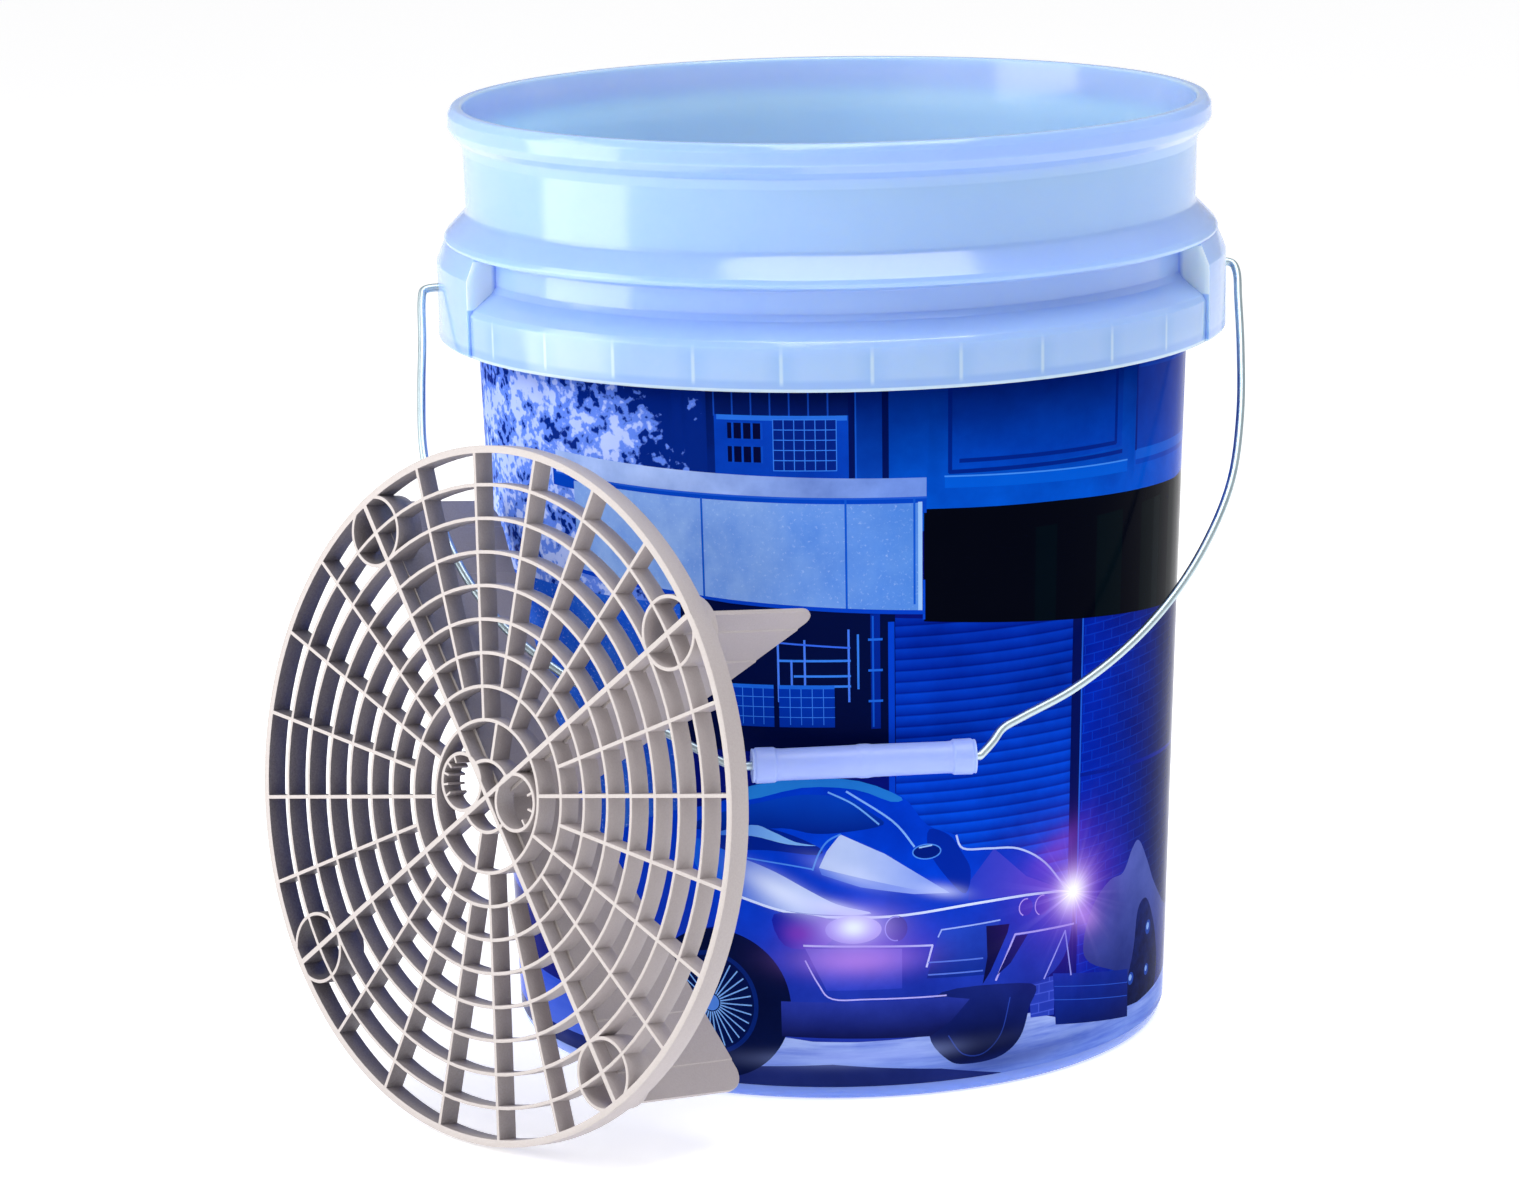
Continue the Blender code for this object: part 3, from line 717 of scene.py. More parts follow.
def paint_ground(picture):
    """The paved street with a low planter box on it."""
    fill, line = picture.fill, picture.line
    fill([(-216, 34), (-60, 30), (-60, 4), (-216, 4)],
         fade((84, 112, 214), (40, 74, 194), 6, 32), "ground")
    fill([(-60, 30), (80, 28), (104, 20), (150, 16), (216, 19), (216, 4), (-60, 4)],
         fade((118, 146, 224), (164, 182, 236), 8, 26), "ground")
    fill([(79, 41), (92, 41), (92, 25), (80, 26)], (44, 66, 184), "brick")
    fill([(91, 42), (140, 32.5), (141, 12.5), (93, 20.6)],
         fade((10, 24, 92), (16, 46, 160), 16, 42), "haze")
    for drop in (5.5, 11):
        line([(92, 42 - drop), (140, 32.5 - drop)], 0.35, (40, 80, 190))
    shadow = [(-216, 12), (-44, 13), (-4, 15), (40, 11), (66, 6), (66, 4), (-216, 4)]
    fill(shadow, (28, 40, 104), "haze")


def paint_wheels(picture):
    fill, line = picture.fill, picture.line
    far_tyre = [(35, 25), (43, 14), (52, 11.6), (66, 12.8), (75, 19), (79, 30), (80, 40), (40, 42)]
    picture.blob(far_tyre, fade((8, 14, 52), (20, 34, 110), 14, 36), "haze", steps=5)
    picture.curve([(43, 24), (49, 16), (58, 15), (66, 22), (70, 36)], 0.5, (40, 66, 164))
    fill(ellipse(-50, 38, 30, 30, 64), (6, 16, 58), "haze")
    fill(ellipse(-53, 38, 19.8, 21, 64), (8, 34, 108))
    fill(ellipse(-53, 38, 18, 19.2, 64), (4, 18, 70))
    for i in range(30):
        angle = 2 * math.pi * i / 30
        inner = (-53 + 4 * math.cos(angle), 38 + 4 * math.sin(angle))
        outer = (-53 + 17 * math.cos(angle), 38 + 18 * math.sin(angle))
        line([inner, outer], 0.55, (120, 168, 232))
    fill(ellipse(-53, 38, 3.4, 3.4), (80, 130, 214))


def paint_car(picture):
    """A generic low coupe, three quarters from the front."""
    fill, line, blob, curve = picture.fill, picture.line, picture.blob, picture.curve
    body = [(-112, 84), (-96, 100), (-72, 112), (-50, 118), (-34, 124), (-14, 129), (6, 128), (24, 122),
            (34, 110), (46, 104.5), (49, 99), (60, 97.7), (73, 95.8), (86, 88), (98, 74), (101, 62), (97, 48),
            (84, 40), (60, 41), (40, 30), (36, 25), (-24, 26), (-30, 46), (-46, 68), (-66, 62), (-78, 44),
            (-108, 42)]
    blob(body, fade((30, 50, 158), (1, 58, 202), 36, 88), "haze")
    roof_edge = [(-38, 125), (-14, 130), (8, 128.6), (24, 121.5), (20, 120), (6, 125.4), (-14, 126.2),
                 (-36, 120.5)]
    blob(roof_edge, (34, 122, 206), steps=3)
    # glass, its sheen and the edges beside it
    glass = [(-60, 108), (-46, 115), (-30, 120), (-14, 123.4), (3, 122), (12, 116), (17, 111), (2, 108.5),
             (-10, 108), (-22, 110), (-40, 108)]
    blob(glass, fade((1, 30, 128), (4, 64, 184), 107, 122))
    shaded = [(-54, 103), (-36, 110), (-22, 108.5), (-8, 102.6), (-9, 99.5), (-28, 101), (-48, 100)]
    blob(shaded, (2, 34, 140))
    sheen = [(-50, 106), (-34, 110.8), (-26, 108.6), (-17, 104.6), (-9, 103.2), (-20, 103.6), (-34, 106.4)]
    blob(sheen, fade_across((30, 96, 210), (122, 176, 236), -50, -24))
    curve([(-4, 124.4), (5.7, 119.4), (15.2, 111.3)], 0.7, (110, 168, 236))
    curve([(3, 124.6), (20.4, 112.4), (29, 101.6)], 0.8, (128, 176, 240))
    # bonnet with its lit wedge, ridges and small round cap
    fill([(0.4, 107.7), (17.3, 99.5), (43.3, 81.9), (29.3, 84.4), (9.8, 89.6), (-8, 94.4), (-4.9, 101)],
         fade_across((184, 200, 240), (124, 150, 234), 4, 40))
    fill([(-8, 94.4), (9.8, 89.6), (29.3, 84.4), (43.3, 81.9), (29, 82.6), (8, 86.4), (-7, 91.6)],
         fade_across((62, 106, 220), (150, 168, 238), -6, 38))
    curve([(-10.5, 93.5), (-8, 100), (-4.5, 105), (0.4, 107.7)], 0.7, (70, 134, 228))
    curve([(-36, 97.5), (-20, 95.4), (-10.5, 93.8)], 0.6, (70, 134, 228))
    blob([(35, 108), (43, 105), (48, 98), (52, 90), (50, 81), (43, 87), (35, 99)], (2, 40, 160))
    fill([(51, 78), (52, 86), (62, 97.4), (77, 84), (92.6, 76.8), (74, 77)],
         fade_across((40, 60, 192), (84, 74, 200), 52, 90))
    cap = ellipse(34, 99.2, 5.6, 2.9)
    fill(cap, (2, 28, 122))
    line(cap + [(39.6, 99.2)], 0.5, (72, 136, 228))
    line([(31, 101), (36, 101.6)], 0.6, (150, 190, 240))
    curve([(46, 104.5), (48.9, 99), (60, 97.7), (73, 95.8), (86, 88), (98, 74)], 0.8, (186, 200, 244))
    # lit wing
    wing = [(-60, 104), (-36, 96.6), (-24.5, 92.1), (-12.6, 85.6), (-1, 79.6), (12, 75.8), (-9.8, 75.8),
            (-25, 77.8), (-37, 80.4), (-54, 88)]
    blob(wing, fade_across((20, 90, 214), (184, 200, 244), -44, -16))
    edge = [(-54, 86), (-37, 81), (-24, 77.2), (-9.8, 75), (20, 74.2), (51, 76.2), (77, 76.4), (97, 74.6)]
    curve(edge, 1.0, (214, 224, 252))


def paint_car_front(picture):
    """The car's lamps, grille and bumper."""
    fill, line = picture.fill, picture.line
    # lamps
    picture.blob([(-26, 75.5), (-6, 74.4), (-2, 68), (-8, 62.6), (-22, 63)],
                 fade_across((6, 30, 160), (96, 66, 196), -24, -6))
    fill(ellipse(5, 69.4, 11, 5.6, 40), fade_across((140, 130, 228), (176, 170, 236), -6, 12))
    fill(ellipse(21.6, 69.2, 4.6, 5.2, 40), (20, 30, 140))
    line(ellipse(21.6, 69.2, 4.2, 4.8, 40)[8:32], 0.5, (150, 150, 236))
    for s, z, across, up in ((77, 71.5, 3.2, 3.4), (85, 71, 3.6, 4)):
        fill(ellipse(s, z, across, up), (60, 50, 176))
        line(ellipse(s, z, across, up)[6:20], 0.5, (186, 160, 240))
    # the line over the bumper, its lit panel and its lower edge
    fill([(-14, 62), (24, 61), (24, 45), (-5.8, 45)],
         fade((40, 62, 188), (96, 96, 208), 45, 61), "haze")
    line([(-14.5, 63.1), (10, 62.6), (36.3, 61.4), (33.9, 52.9)], 0.8, (196, 198, 246))
    picture.curve([(-14, 57), (-9, 47.5), (-3.6, 41.6), (12, 41.2), (42, 40.6)], 0.6, (176, 168, 238))
    # grille, the dark slot beside it, and the frame under the right lamp
    fill([(39.4, 67.1), (64.9, 67.9), (58.3, 47), (33.9, 48.2)],
         fade((14, 40, 136), (26, 66, 186), 47, 67), "haze")
    line([(38.6, 64.5), (40, 67.3), (65, 68.2)], 0.6, (150, 172, 238))
    for low in (49.6, 54.6):
        line([(34.6, low), (57.5, low - 0.8)], 0.6, (84, 116, 216))
    fill([(58.9, 66.6), (69.3, 66), (68.5, 62.7), (61, 48), (57.5, 43.2), (59.5, 54)], (8, 14, 62))
    line([(63.4, 44), (72, 61.3), (102, 60.2)], 0.8, (180, 168, 240))
    fill([(64, 46), (72.4, 60.6), (78, 60.4), (70, 50)], (14, 22, 92))
    for foot in ((86.5, 40.8), (101, 39.4)):
        line([(97.2, 58.3), foot], 0.7, (150, 150, 234))
    # under the bumper
    fill([(-24, 40.4), (42, 40), (52, 38), (44, 30), (35.5, 24.6), (-24, 26.2)],
         fade((14, 20, 74), (38, 54, 156), 26, 40), "haze")


def picture_shapes():
    picture = Picture()
    for paint in (paint_buildings, paint_facade, paint_shutter_and_wall, paint_garage, paint_gallery,
                  paint_garden, paint_ground, paint_car, paint_wheels, paint_car_front):
        paint(picture)
    return picture.shapes


# Soft lights and shades brushed over the drawing: middle, reach across and up, turn, tint and strength
BRUSHED = (
    (-22, 84, 15, 4.4, -27, (206, 218, 250), 0.95),
    (-3, 78.4, 12, 2.6, -14, (200, 208, 250), 0.85),
    (4, 92, 13, 3.4, -20, (196, 208, 244), 0.5),
    (40, 83, 9, 2.4, -12, (196, 206, 248), 0.6),
    (10, 62, 23, 9, 0, (100, 62, 200), 0.5),
    (6, 57, 20, 5.5, 0, (178, 128, 224), 0.66),
    (5, 70, 15, 7.5, 0, (180, 156, 240), 0.78),
    (5, 70.4, 6, 4.2, 0, (220, 228, 255), 1.0),
    (-16, 68, 6, 4, 0, (130, 40, 170), 0.5),
    (100, 74, 25, 21, 0, (104, 52, 190), 0.6),
    (101, 74, 11, 11, 0, (190, 140, 236), 0.8),
    (101, 73.4, 6.5, 6.5, 0, (244, 244, 255), 1.0),
    (108, 62, 9, 5, -30, (196, 150, 238), 0.5),
    (92, 92, 14, 6, 30, (140, 70, 200), 0.35),
    (10, 18, 36, 3.2, 2, (152, 170, 236), 0.5),
    (76, 11, 34, 4, 3, (30, 44, 128), 0.6),
    (58, 20, 14, 9, 0, (4, 10, 46), 0.6),
)


def brush(surface, flat, color, s, z, across, up, turn, tint, strength):
    """Blends color towards tint in a soft ellipse."""
    moved = surface.place(flat, move=(-s, -z, 0))
    near = surface.place(surface.place(moved, turn=-turn), scale=(1 / across, 1 / up, 0))
    share = surface.times(surface.math("EXPONENT", surface.times(surface.dot(near, near), -1.0)), strength)
    return surface.mix(share, color, tone(*tint))


def add_star(surface, flat, color, s, z, reach, tint, strength):
    """Adds thin rays round (s, z)."""
    near = surface.place(flat, move=(-s / reach, -z / reach, 0), scale=(1 / reach, 1 / reach, 1))
    across, up, _ = surface.parts(near)
    angle = surface.math("ARCTAN2", up, across)
    rays = surface.noise(surface.node("CombineXYZ", {0: angle, 1: 3.0}).outputs[0], 6.0, 2.0)
    lit = surface.between(rays, 0.5, 0.74)
    falloff = surface.math("EXPONENT", surface.times(surface.length(near), -3.2))
    share = surface.times(lit, falloff, strength)
    return surface.mix(share, color, tone(*tint), "ADD")


def foliage(surface, flat, ink):
    """Pale blossom against a dark tree, thinning out to the right."""
    leaf = surface.noise(flat, 0.06, 3.0, 0.6)
    fine = surface.noise(flat, 0.24, 3.0, 0.6)
    both = surface.math("ADD", surface.times(leaf, 0.62), surface.times(fine, 0.38))
    across = surface.parts(flat)[0]
    thin = surface.math("ADD", both, surface.between(across, -86, -44, 0.0, -0.22))
    dark = surface.mix(surface.between(thin, 0.41, 0.45), tone(4, 36, 124), ink)
    return surface.mix(surface.between(thin, 0.5, 0.54), dark, tone(180, 196, 248))


def leaves(surface, flat, ink):
    """Dusky leaves, half lost in the dark."""
    leaf = surface.noise(flat, 0.16, 5.0, 0.66)
    shade = surface.mix(surface.between(leaf, 0.36, 0.66), (0.45, 0.48, 0.6, 1), (1.5, 1.35, 1.2, 1))
    return surface.mix(1.0, ink, shade, "MULTIPLY")


def haze(surface, flat, ink):
    """Soft uneven light."""
    cloud = surface.noise(flat, 0.035, 5.0, 0.62)
    shade = surface.mix(surface.between(cloud, 0.3, 0.7), (0.72, 0.74, 0.8, 1), (1.3, 1.24, 1.14, 1))
    return surface.mix(1.0, ink, shade, "MULTIPLY")


def brick(surface, flat, ink):
    """Courses of brick with pale joints."""
    inputs = {"Vector": flat, "Color1": (1, 1, 1, 1), "Color2": (0.66, 0.74, 0.86, 1),
              "Mortar": (2.2, 1.8, 1.3, 1), "Scale": 1.0, "Mortar Size": 0.26, "Brick Width": 10.5,
              "Row Height": 3.9, "Bias": 0.0}
    bricks = surface.node("TexBrick", inputs).outputs["Color"]
    return haze(surface, flat, surface.mix(1.0, ink, bricks, "MULTIPLY"))


def shutter(surface, flat, ink):
    """Roller slats, each lit along its upper edge."""
    height = surface.parts(flat)[1]
    along = surface.math("FRACT", surface.times(height, 1 / SLAT_PITCH))
    shade = surface.node("ValToRGB", {0: along})
    stops = shade.color_ramp.elements
    stops[0].color = (0.5, 0.56, 0.66, 1)
    stops[1].position = 0.8
    stops[1].color = (1.7, 1.5, 1.14, 1)
    last = stops.new(0.9)
    last.color = (0.4, 0.46, 0.56, 1)
    return haze(surface, flat, surface.mix(1.0, ink, shade.outputs[0], "MULTIPLY"))


def wall(surface, flat, ink):
    """Rendered wall with faint stains and specks."""
    stain = surface.noise(surface.place(flat, scale=(0.05, 0.03, 1)), 1.0, 6.0, 0.65)
    speck = surface.noise(flat, 0.7, 3.0, 0.7)
    stained = surface.mix(surface.between(stain, 0.35, 0.7, 0.0, 0.6), ink, tone(60, 122, 216))
    return surface.mix(surface.between(speck, 0.58, 0.7, 0.0, 0.35), stained, tone(196, 214, 244))


def ground(surface, flat, ink):
    """Wet paving with level streaks."""
    streak = surface.noise(surface.place(flat, scale=(0.03, 0.35, 1)), 1.0, 4.0, 0.6)
    return surface.mix(surface.between(streak, 0.4, 0.75, 0.0, 0.8), ink, tone(70, 98, 204))


def plain(surface, flat, ink):
    return ink


LOOKS = {look.__name__: look for look in (plain, haze, foliage, leaves, brick, shutter, wall, ground)}


def print_material(look, pattern):
    """Glossy printed film: the drawn ink, the look's own pattern, lamp light and a slightly uneven gloss."""
    surface = Surface("print_" + look, IOR=1.5, Specular_IOR_Level=0.005)
    flat = surface.attribute("flat", "Vector")
    color = pattern(surface, flat, surface.attribute("ink", "Color"))
    uneven = surface.noise(flat, 0.05, 4.0, 0.6)
    dull = surface.between(uneven, 0.3, 0.7, 0.2, 0.7)
    color = surface.mix(dull, color, (0.66, 0.74, 0.86, 1), "MULTIPLY")
    for patch in BRUSHED:
        color = brush(surface, flat, color, *patch)
    color = add_star(surface, flat, color, *STAR_AT, 26, (214, 190, 255), 0.8)
    surface.set("Base Color", color)
    surface.set("Roughness", surface.between(uneven, 0.3, 0.7, 0.09, 0.17))
    surface.bump(surface.noise(flat, 0.02, 2.0), 0.1, 0.002)
    return surface.material


def label_point(s, z, turn):
    """Where a point of the flat picture lies on the sleeve."""
    angle = turn + math.radians(PICTURE_TURN) + s / FLAT_R
    radius = (cone_radius(z) + LABEL_OUT) * MM
    return radius * math.sin(angle), -radius * math.cos(angle), z * MM


def triangulate(outlines, tolerance):
    """Points, triangles, and for each triangle the numbers of the outlines that hold it."""
    corners, faces = [], []
    for outline in outlines:
        faces.append(list(range(len(corners), len(corners) + len(outline))))
        corners += [Vector(p) for p in outline]
    points, _, triangles, _, _, sources = delaunay_2d_cdt(corners, [], faces, 0, tolerance)
    return points, triangles, sources


def flat_picture():
    """One picture cut into triangles along every outline: points, and (corners, top shape) for each."""
    half = math.pi * FLAT_R / PICTURES
    width = 2 * half / PICTURE_STRIPS
    lefts = [-half + width * i for i in range(PICTURE_STRIPS)]
    outlines = [box(left, LABEL_LOW, -half + width * (i + 1), LABEL_HIGH) for i, left in enumerate(lefts)]
    shapes = picture_shapes()
    outlines += [counterclockwise(shape[0]) for shape in shapes]
    points, triangles, sources = triangulate(outlines, 1e-3)
    kept = []
    for triangle, source in zip(triangles, sources):
        painted = max(source) - PICTURE_STRIPS if source else -1
        if painted >= 0 and min(source) < PICTURE_STRIPS:
            kept.append((triangle, painted))
    return points, kept, shapes


def make_label():
    points, triangles, shapes = flat_picture()
    looks = list(LOOKS)
    bm = bmesh.new()
    flat_layer = bm.verts.layers.float_vector.new("flat")
    ink_layer = bm.loops.layers.float_color.new("ink")
    for copy in range(PICTURES):
        turn = 2 * math.pi * copy / PICTURES
        used = sorted({i for triangle, _ in triangles for i in triangle})
        verts = {i: bm.verts.new(label_point(points[i].x, points[i].y, turn)) for i in used}
        for i, vert in verts.items():
            vert[flat_layer] = (points[i].x, points[i].y, 0)
        for triangle, painted in triangles:
            _, ink, look = shapes[painted]
            face = bm.faces.new([verts[i] for i in triangle])
            face.material_index = looks.index(look)
            middle = sum((points[i] for i in triangle), Vector((0, 0))) / 3
            for loop, i in zip(face.loops, triangle):
                spot = points[i] * 0.98 + middle * 0.02
                loop[ink_layer] = (*(ink(spot.x, spot.y) if callable(ink) else rgb(*ink)), 1)
    materials = [print_material(look, LOOKS[look]) for look in looks]
    label = object_from(bm, "printed_sleeve", materials, "bucket", recalculate=False)
    sleeve = label.modifiers.new("film", "SOLIDIFY")
    sleeve.thickness = LABEL_THICK * MM
    sleeve.offset = -1.0
    apply_modifiers(label)
    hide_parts("label_sleeve")


# ---------------------------------------------------------------- bail and grip


def catmull_rom(before, here, there, after, t):
    """The centripetal curve through here and there, at t from 0 to 1."""
    spans = [max((b - a).length, 1e-6) ** 0.5 for a, b in ((before, here), (here, there), (there, after))]
    out = (here - before) / spans[0] - (there - before) / (spans[0] + spans[1]) + (there - here) / spans[1]
    into = (there - here) / spans[1] - (after - here) / (spans[1] + spans[2]) + (after - there) / spans[2]
    start, end = out * spans[1], into * spans[1]
    return (here * (2 * t ** 3 - 3 * t ** 2 + 1) + there * (3 * t ** 2 - 2 * t ** 3)
            + start * (t ** 3 - 2 * t ** 2 + t) + end * (t ** 3 - t ** 2))


def bail_path():
    """Points of the wire's middle line in the bail's own plane, from the left end to the right end."""
    left = [Vector((-x, 0, -d)) for x, d in BAIL_LEFT]
    right = [Vector((x, 0, -d)) for x, d in BAIL_RIGHT]
    grip = [Vector((x, 0, -BAIL_REACH)) for x in (GRIP_LEFT_X - 2, GRIP_RIGHT_X + 1.5)]
    ends = [Vector((-WIRE_END_X, 0, 0)), Vector((WIRE_END_X, 0, 0))]
    points = [ends[0]] + left + grip + right[::-1] + [ends[1]]
    path = []
    for i in range(len(points) - 1):
        before, here = points[max(i - 1, 0)], points[i]
        there, after = points[i + 1], points[min(i + 2, len(points) - 1)]
        straight = here in ends or there in ends or (here in grip and there in grip)
        steps = 1 if straight else 6
        path += [catmull_rom(before, here, there, after, k / steps) for k in range(steps)]
    return path + [points[-1]]


def make_bail():
    curve = bpy.data.curves.new("wire_bail", "CURVE")
    curve.dimensions = "3D"
    curve.bevel_depth = WIRE_R * MM
    curve.bevel_resolution = 6
    curve.use_fill_caps = True
    points = bail_path()
    spline = curve.splines.new("POLY")
    spline.points.add(len(points) - 1)
    turn = Matrix.Translation(PIVOT) @ Matrix.Rotation(math.radians(-BAIL_REST), 4, "X")
    for point, place in zip(spline.points, points):
        point.co = (*(turn @ (place * MM)), 1.0)
    curve.materials.append(zinc_wire())
    bail = bpy.data.objects.new("wire_bail", curve)
    bpy.context.scene.collection.objects.link(bail)
    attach(bail, "bail")
    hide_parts("bail_wire")


def make_grip():
    """A moulded tube, a little thicker at its two cuffs and with a low ring round its middle."""
    half = (GRIP_RIGHT_X - GRIP_LEFT_X) / 2
    right = [(6.2, 3.2, 1), (6.05, half - 11, 2), (6.2, half - 9.2, 0.6), (6.75, half - 8.4, 0.5),
             (6.85, half - 1.6, 0.8), (6.3, half - 0.9, 0.4), (6.6, half, 0.5), (2.9, half, 0.4)]
    ring = [(6.2, -3.2, 1), (6.5, -1.4, 1), (6.5, 1.4, 1)]
    left = [(r, -h, c) for r, h, c in reversed(right[1:])]
    outline = left + ring + right + [(2.3, half - 1, 0.2), (2.3, 1 - half, 0.2)]
    bm = bmesh.new()
    add_turned(bm, rounded(outline), 64)
    place = Matrix.Translation(GRIP_AT) @ Matrix.Rotation(math.pi / 2, 4, "Y")
    bmesh.ops.transform(bm, matrix=place, verts=bm.verts)
    grip = object_from(bm, "grip_tube", [grip_plastic()], "grip")
    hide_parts("bail_grip")


# ---------------------------------------------------------------- dirt guard


def polar(radius, degrees):
    return Vector((math.cos(math.radians(degrees)), math.sin(math.radians(degrees)))) * radius


def spoke_angle(spoke):
    return FIRST_SPOKE + 360 * spoke / SPOKES


def band(centre, radius, wall, start, count):
    """Quads of a flat ring with count corners, its wall's middle at radius."""
    angles = [start + 360 * i / count for i in range(count)]
    inner = [centre + polar(radius - wall / 2, angle) for angle in angles]
    outer = [centre + polar(radius + wall / 2, angle) for angle in angles]
    return [(inner[i - 1], outer[i - 1], outer[i], inner[i]) for i in range(count)]


def strip(start, end, wall):
    along = (end - start).normalized()
    side = Vector((along.y, -along.x)) * (wall / 2)
    return start + side, end + side, end - side, start - side


def guard_outlines():
    """Flat outlines of the grille: rings, spokes, arms, hub circles with their nubs, and sockets."""
    middle = Vector((0, 0))
    rim_radius = GUARD_R - RIM_WALL / 2
    radii = [FIRST_RING_R + i * RING_STEP for i in range(RINGS)]
    outlines = band(middle, rim_radius, RIM_WALL, 1.1, 144)
    for radius in radii:
        outlines += band(middle, radius, RING_WALL, 1.7, 96)
    for spoke in range(SPOKES):
        angle = spoke_angle(spoke)
        from_arm = min(abs((spoke - arm + SPOKES // 2) % SPOKES - SPOKES // 2) for arm in ARM_SPOKES)
        start = radii[0 if from_arm in (0, 2) else 1]
        wall = ARM_WALL if spoke in ARM_SPOKES else SPOKE_WALL
        outlines.append(strip(polar(start, angle), polar(rim_radius, angle), wall))
    for spoke in ARM_SPOKES[:2]:
        end = polar(FIRST_RING_R + 0.3, spoke_angle(spoke))
        outlines.append(strip(-end, end, ARM_WALL - 0.2))
    for x, y, radius in HUB_CIRCLES[1:]:
        outlines += band(Vector((x, y)), radius, RING_WALL, 4, 48)
    for quad in band(middle, HUB_CIRCLES[0][2], RING_WALL, 4, 72):
        centre = (quad[0] + quad[2]) / 2
        if all((centre - Vector((x, y))).length > radius for x, y, radius in HUB_CIRCLES[1:]):
            outlines.append(quad)
    for angle in (85, 265):
        outlines.append(strip(polar(HUB_CIRCLES[0][2], angle), polar(FIRST_RING_R, angle), SPOKE_WALL))
    for spoke in ARM_SPOKES:
        outlines += band(polar(SOCKET_AT, spoke_angle(spoke)), SOCKET_R, RING_WALL, 4, 64)
    for circle, angles in ((1, (120, 145, 170, 195, 220)), (2, (-50, -10, 30))):
        x, y, radius = HUB_CIRCLES[circle]
        for angle in angles:
            inner, outer = (Vector((x, y)) + polar(r, angle) for r in (radius - 3.2, radius))
            outlines.append(strip(inner, outer, 0.9))
    return outlines


def flat_union(outlines):
    """Points and triangles that cover every outline once."""
    points, triangles, sources = triangulate(outlines, 1e-4)
    return points, [triangle for triangle, source in zip(triangles, sources) if source]


def edge_insets(points, triangles):
    """The outline's edges, and for each of its points the direction into the material."""
    sides = {}
    for triangle in triangles:
        for i in range(3):
            a, b, c = triangle[i], triangle[(i + 1) % 3], triangle[(i + 2) % 3]
            sides.setdefault(frozenset((a, b)), []).append((a, b, c))
    edges = [uses[0] for uses in sides.values() if len(uses) == 1]
    insets = {}
    for a, b, c in edges:
        along = (points[b] - points[a]).normalized()
        inward = Vector((-along.y, along.x))
        if inward.dot(points[c] - points[a]) < 0:
            inward = -inward
        for end in (a, b):
            insets[end] = insets.get(end, Vector((0, 0))) + inward
    return [(a, b) for a, b, _ in edges], {i: v.normalized() for i, v in insets.items() if v.length > 1e-6}


def extruded(outlines, depth, edge):
    """A plate of the outlines' shape from Z 0 down to -depth, its rims rounded by edge."""
    points, triangles = flat_union(outlines)
    edges, insets = edge_insets(points, triangles)
    used = sorted({i for triangle in triangles for i in triangle})
    layers = [(0.0, 1.0), (-0.28 * edge, 0.28), (-edge, 0.0), (edge - depth, 0.0),
              (0.28 * edge - depth, 0.28), (-depth, 1.0)]
    bm = bmesh.new()
    rings = []
    for level, inset in layers:
        whole = inset == 1.0
        ring = {}
        for i in used:
            if whole or i in insets:
                moved = points[i] + insets.get(i, Vector((0, 0))) * edge * inset
                ring[i] = bm.verts.new((moved.x * MM, moved.y * MM, level * MM))
        rings.append(ring)
    for triangle in triangles:
        bm.faces.new([rings[0][i] for i in triangle])
        bm.faces.new([rings[-1][i] for i in reversed(triangle)])
    for upper, lower in zip(rings, rings[1:]):
        for a, b in edges:
            bm.faces.new((upper[a], lower[a], lower[b], upper[b]))
    return bm


def fin_far_depth(radius):
    """How far behind the face the fin reaches: a gentle slope, then the rounded outer corner."""
    corner_start = FIN_OUTER_R - FIN_CORNER
    if radius <= corner_start:
        return FIN_HUB_DEPTH + (FIN_DEPTH - FIN_HUB_DEPTH) * radius / corner_start
    along = min((radius - corner_start) / FIN_CORNER, 1.0)
    return FIN_DEPTH - FIN_CORNER + FIN_CORNER * math.sqrt(1 - along ** 2)


def add_fin(bm, stations, angle, edge=0.35):
    """A plate along the arm at angle, from inside the grille back, with its far rims rounded."""
    turn = Matrix.Rotation(math.radians(angle), 3, "Z")
    sections = []
    for station in stations:
        radius = abs(station)
        half = next(value for start, value in FIN_STEPS if radius >= start)
        near, far = GUARD_DEPTH - 2.0, fin_far_depth(radius)
        corners = ((half, near), (half, far - edge), (half - edge, far), (edge - half, far),
                   (-half, far - edge), (-half, near))
        spots = [turn @ Vector((station, side, -depth)) * MM for side, depth in corners]
        sections.append([bm.verts.new(spot) for spot in spots])
    for here, there in zip(sections, sections[1:]):
        for i in range(6):
            j = (i + 1) % 6
            bm.faces.new((here[i], here[j], there[j], there[i]))
    bm.faces.new(sections[0])
    bm.faces.new(sections[-1])


def fin_stations():
    """Radii of the fin's sections from the middle out: each step as a short ramp, then the rounded corner."""
    stations = []
    for start, _ in reversed(FIN_STEPS[:-1]):
        stations += [start - 0.5, start]
    corner_start = FIN_OUTER_R - FIN_CORNER
    return stations + [corner_start + FIN_CORNER * math.sin(math.radians(90 * i / 10)) for i in range(11)]


def add_fins(bm):
    """One fin right across behind two opposite arms, and one from the middle out behind a third."""
    out = fin_stations()
    add_fin(bm, [-s for s in reversed(out)] + [0.0] + out, spoke_angle(ARM_SPOKES[1]))
    add_fin(bm, [0.7] + out, spoke_angle(ARM_SPOKES[0]))


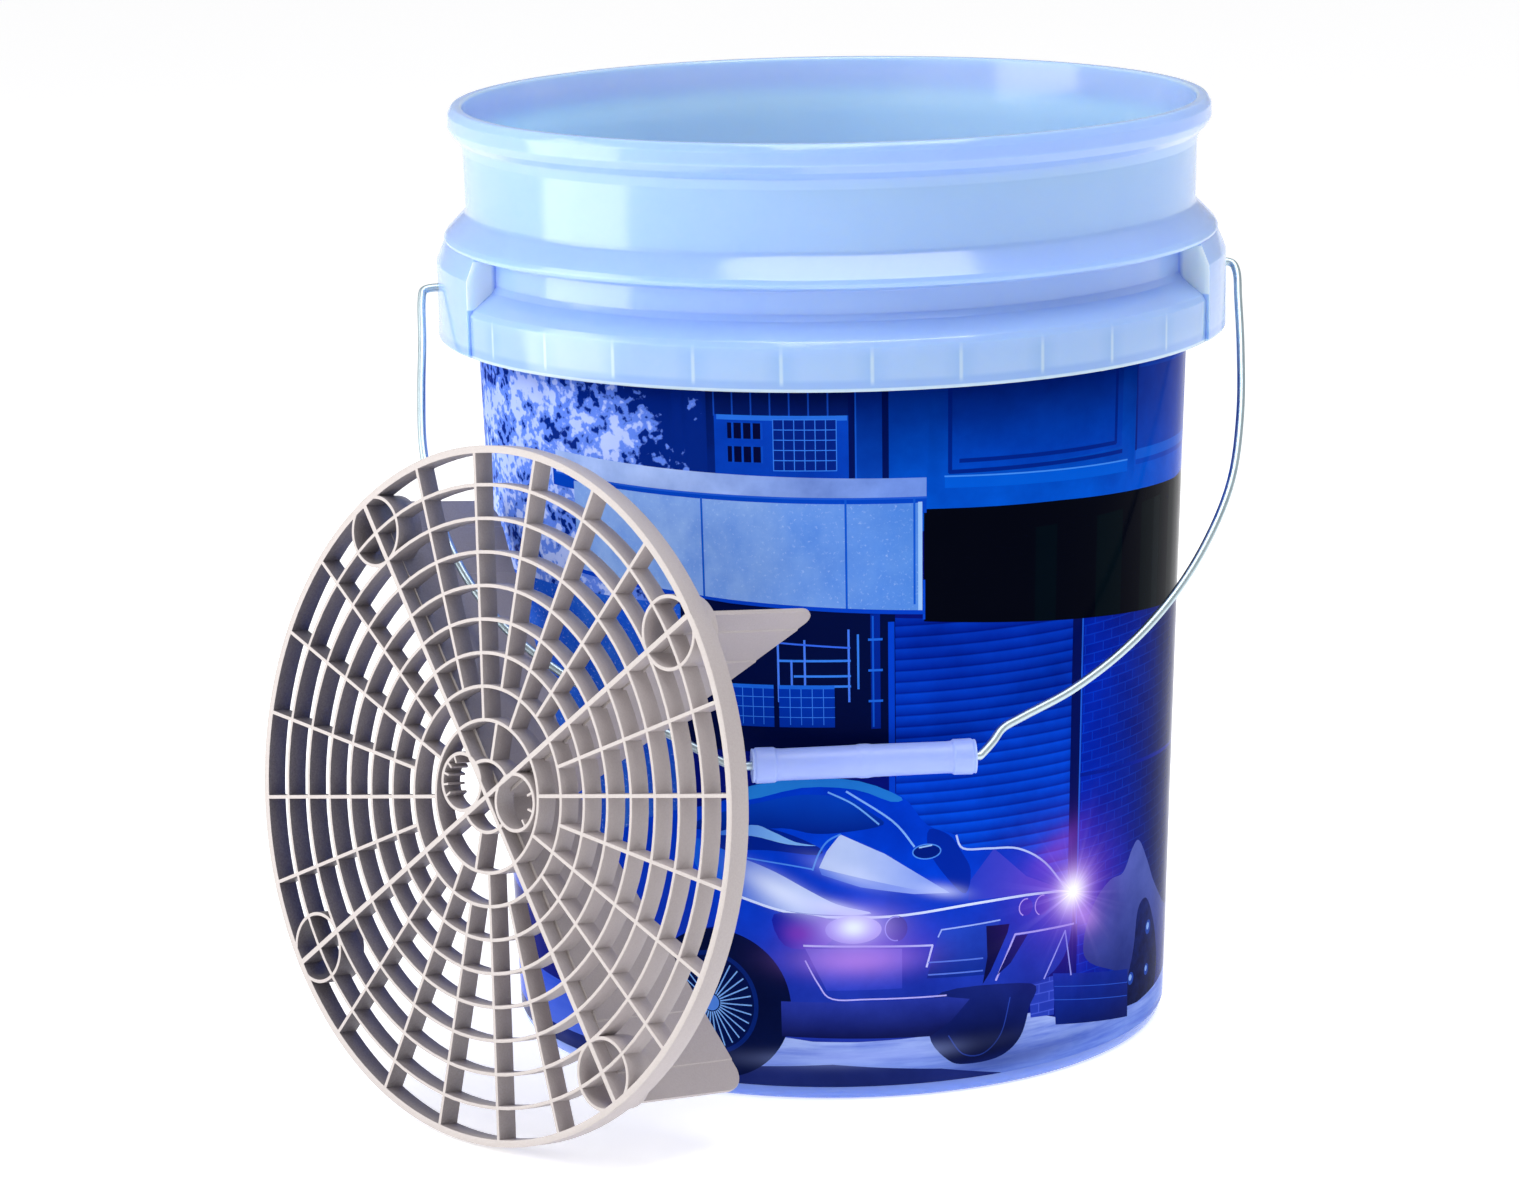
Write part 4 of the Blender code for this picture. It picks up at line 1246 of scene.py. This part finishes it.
def add_socket_cups(bm):
    for spoke in ARM_SPOKES:
        before = set(bm.verts)
        outer, inner = SOCKET_R + CUP_WALL / 2, SOCKET_R - CUP_WALL / 2
        outline = [(outer, -SOCKET_DEPTH, 0.3), (outer, -4, 0), (inner, -4, 0), (inner, -SOCKET_DEPTH, 0.3)]
        add_turned(bm, rounded(outline, 2), 64)
        centre = polar(SOCKET_AT, spoke_angle(spoke))
        made = [v for v in bm.verts if v not in before]
        bmesh.ops.translate(bm, vec=(centre.x * MM, centre.y * MM, 0), verts=made)


def make_guard():
    bm = extruded(guard_outlines(), GUARD_DEPTH, 0.25)
    add_socket_cups(bm)
    add_fins(bm)
    guard = object_from(bm, "dirt_guard", [guard_plastic()], None, smooth_angle=38.0)
    lean = math.radians(GUARD_LEAN)
    height = GUARD_R * math.cos(lean) + GUARD_DEPTH * math.sin(lean) + 0.2
    guard.data.transform(Matrix.Translation(Vector((GUARD_X, GUARD_Y, height)) * MM) @ guard_turn())
    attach(guard, "guard")
    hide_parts("guard_grille", "guard_fins")


# ---------------------------------------------------------------- stage, lights and camera


def make_floor():
    bm = bmesh.new()
    bmesh.ops.create_grid(bm, x_segments=1, y_segments=1, size=14.0)
    surface = Surface("pale_floor", Emission_Color=(1, 1, 1, 1), Emission_Strength=0.5)
    soft = surface.noise(surface.position(), 0.6, 2.0)
    surface.set("Base Color", surface.mix(soft, (0.91, 0.91, 0.92, 1), (0.94, 0.94, 0.95, 1)))
    surface.set("Roughness", surface.between(soft, 0.3, 0.7, 0.75, 0.85))
    floor = object_from(bm, "floor", [surface.material], None)


def add_panel(name, azimuth, distance, height, width, tall, radiance, aim=(0, 0, 0.2)):
    """An upright soft light that faces the bucket. azimuth is in degrees from -Y towards +X."""
    light = bpy.data.lights.new(name, "AREA")
    light.shape = "RECTANGLE"
    light.size = width
    light.size_y = tall
    light.energy = math.pi * radiance * width * tall
    panel = bpy.data.objects.new(name, light)
    bpy.context.scene.collection.objects.link(panel)
    angle = math.radians(azimuth)
    panel.location = (distance * math.sin(angle), -distance * math.cos(angle), height)
    panel.rotation_euler = (Vector(aim) - panel.location).to_track_quat("-Z", "Y").to_euler()
    return panel


def make_lights():
    world = bpy.data.worlds.new("studio")
    world.use_nodes = True
    world.node_tree.nodes["Background"].inputs["Color"].default_value = (1.0, 1.0, 1.0, 1)
    world.node_tree.nodes["Background"].inputs["Strength"].default_value = 0.5
    bpy.context.scene.world = world
    add_panel("window", -84, 0.95, 0.50, 0.58, 0.95, 3.2, aim=(0, 0, 0.4))
    add_panel("overhead", 10, 0.5, 1.9, 1.4, 1.2, 4.0)
    side = add_panel("side", 105, 1.3, 0.8, 0.5, 1.0, 2.8, aim=(0, 0, 0.3))
    front = add_panel("front", -50, 1.6, 0.8, 0.8, 0.8, 4.0)
    for panel in (side, front):
        panel.visible_glossy = False
    bpy.context.scene.view_settings.view_transform = "Standard"


def make_camera():
    camera = bpy.data.cameras.new("camera")
    camera.lens = 113.89
    camera.sensor_width = 36.0
    camera.clip_end = 50.0
    view = bpy.data.objects.new("camera", camera)
    bpy.context.scene.collection.objects.link(view)
    distance, height = 1.901, 0.5932
    aside, down, roll = 0.926, 12.57, -1.031
    turn = math.radians(PICTURE_TURN)
    place = Vector((distance * math.sin(turn), -distance * math.cos(turn), height))
    heading = Matrix.Rotation(turn + math.radians(aside), 4, "Z")
    pitch = Matrix.Rotation(math.radians(90 - down), 4, "X")
    lean = Matrix.Rotation(math.radians(roll), 4, "Z")
    view.matrix_world = Matrix.Translation(place) @ heading @ pitch @ lean
    bpy.context.scene.camera = view


make_bucket()
make_label()
make_bail()
make_grip()
make_guard()
make_floor()
make_lights()
make_camera()
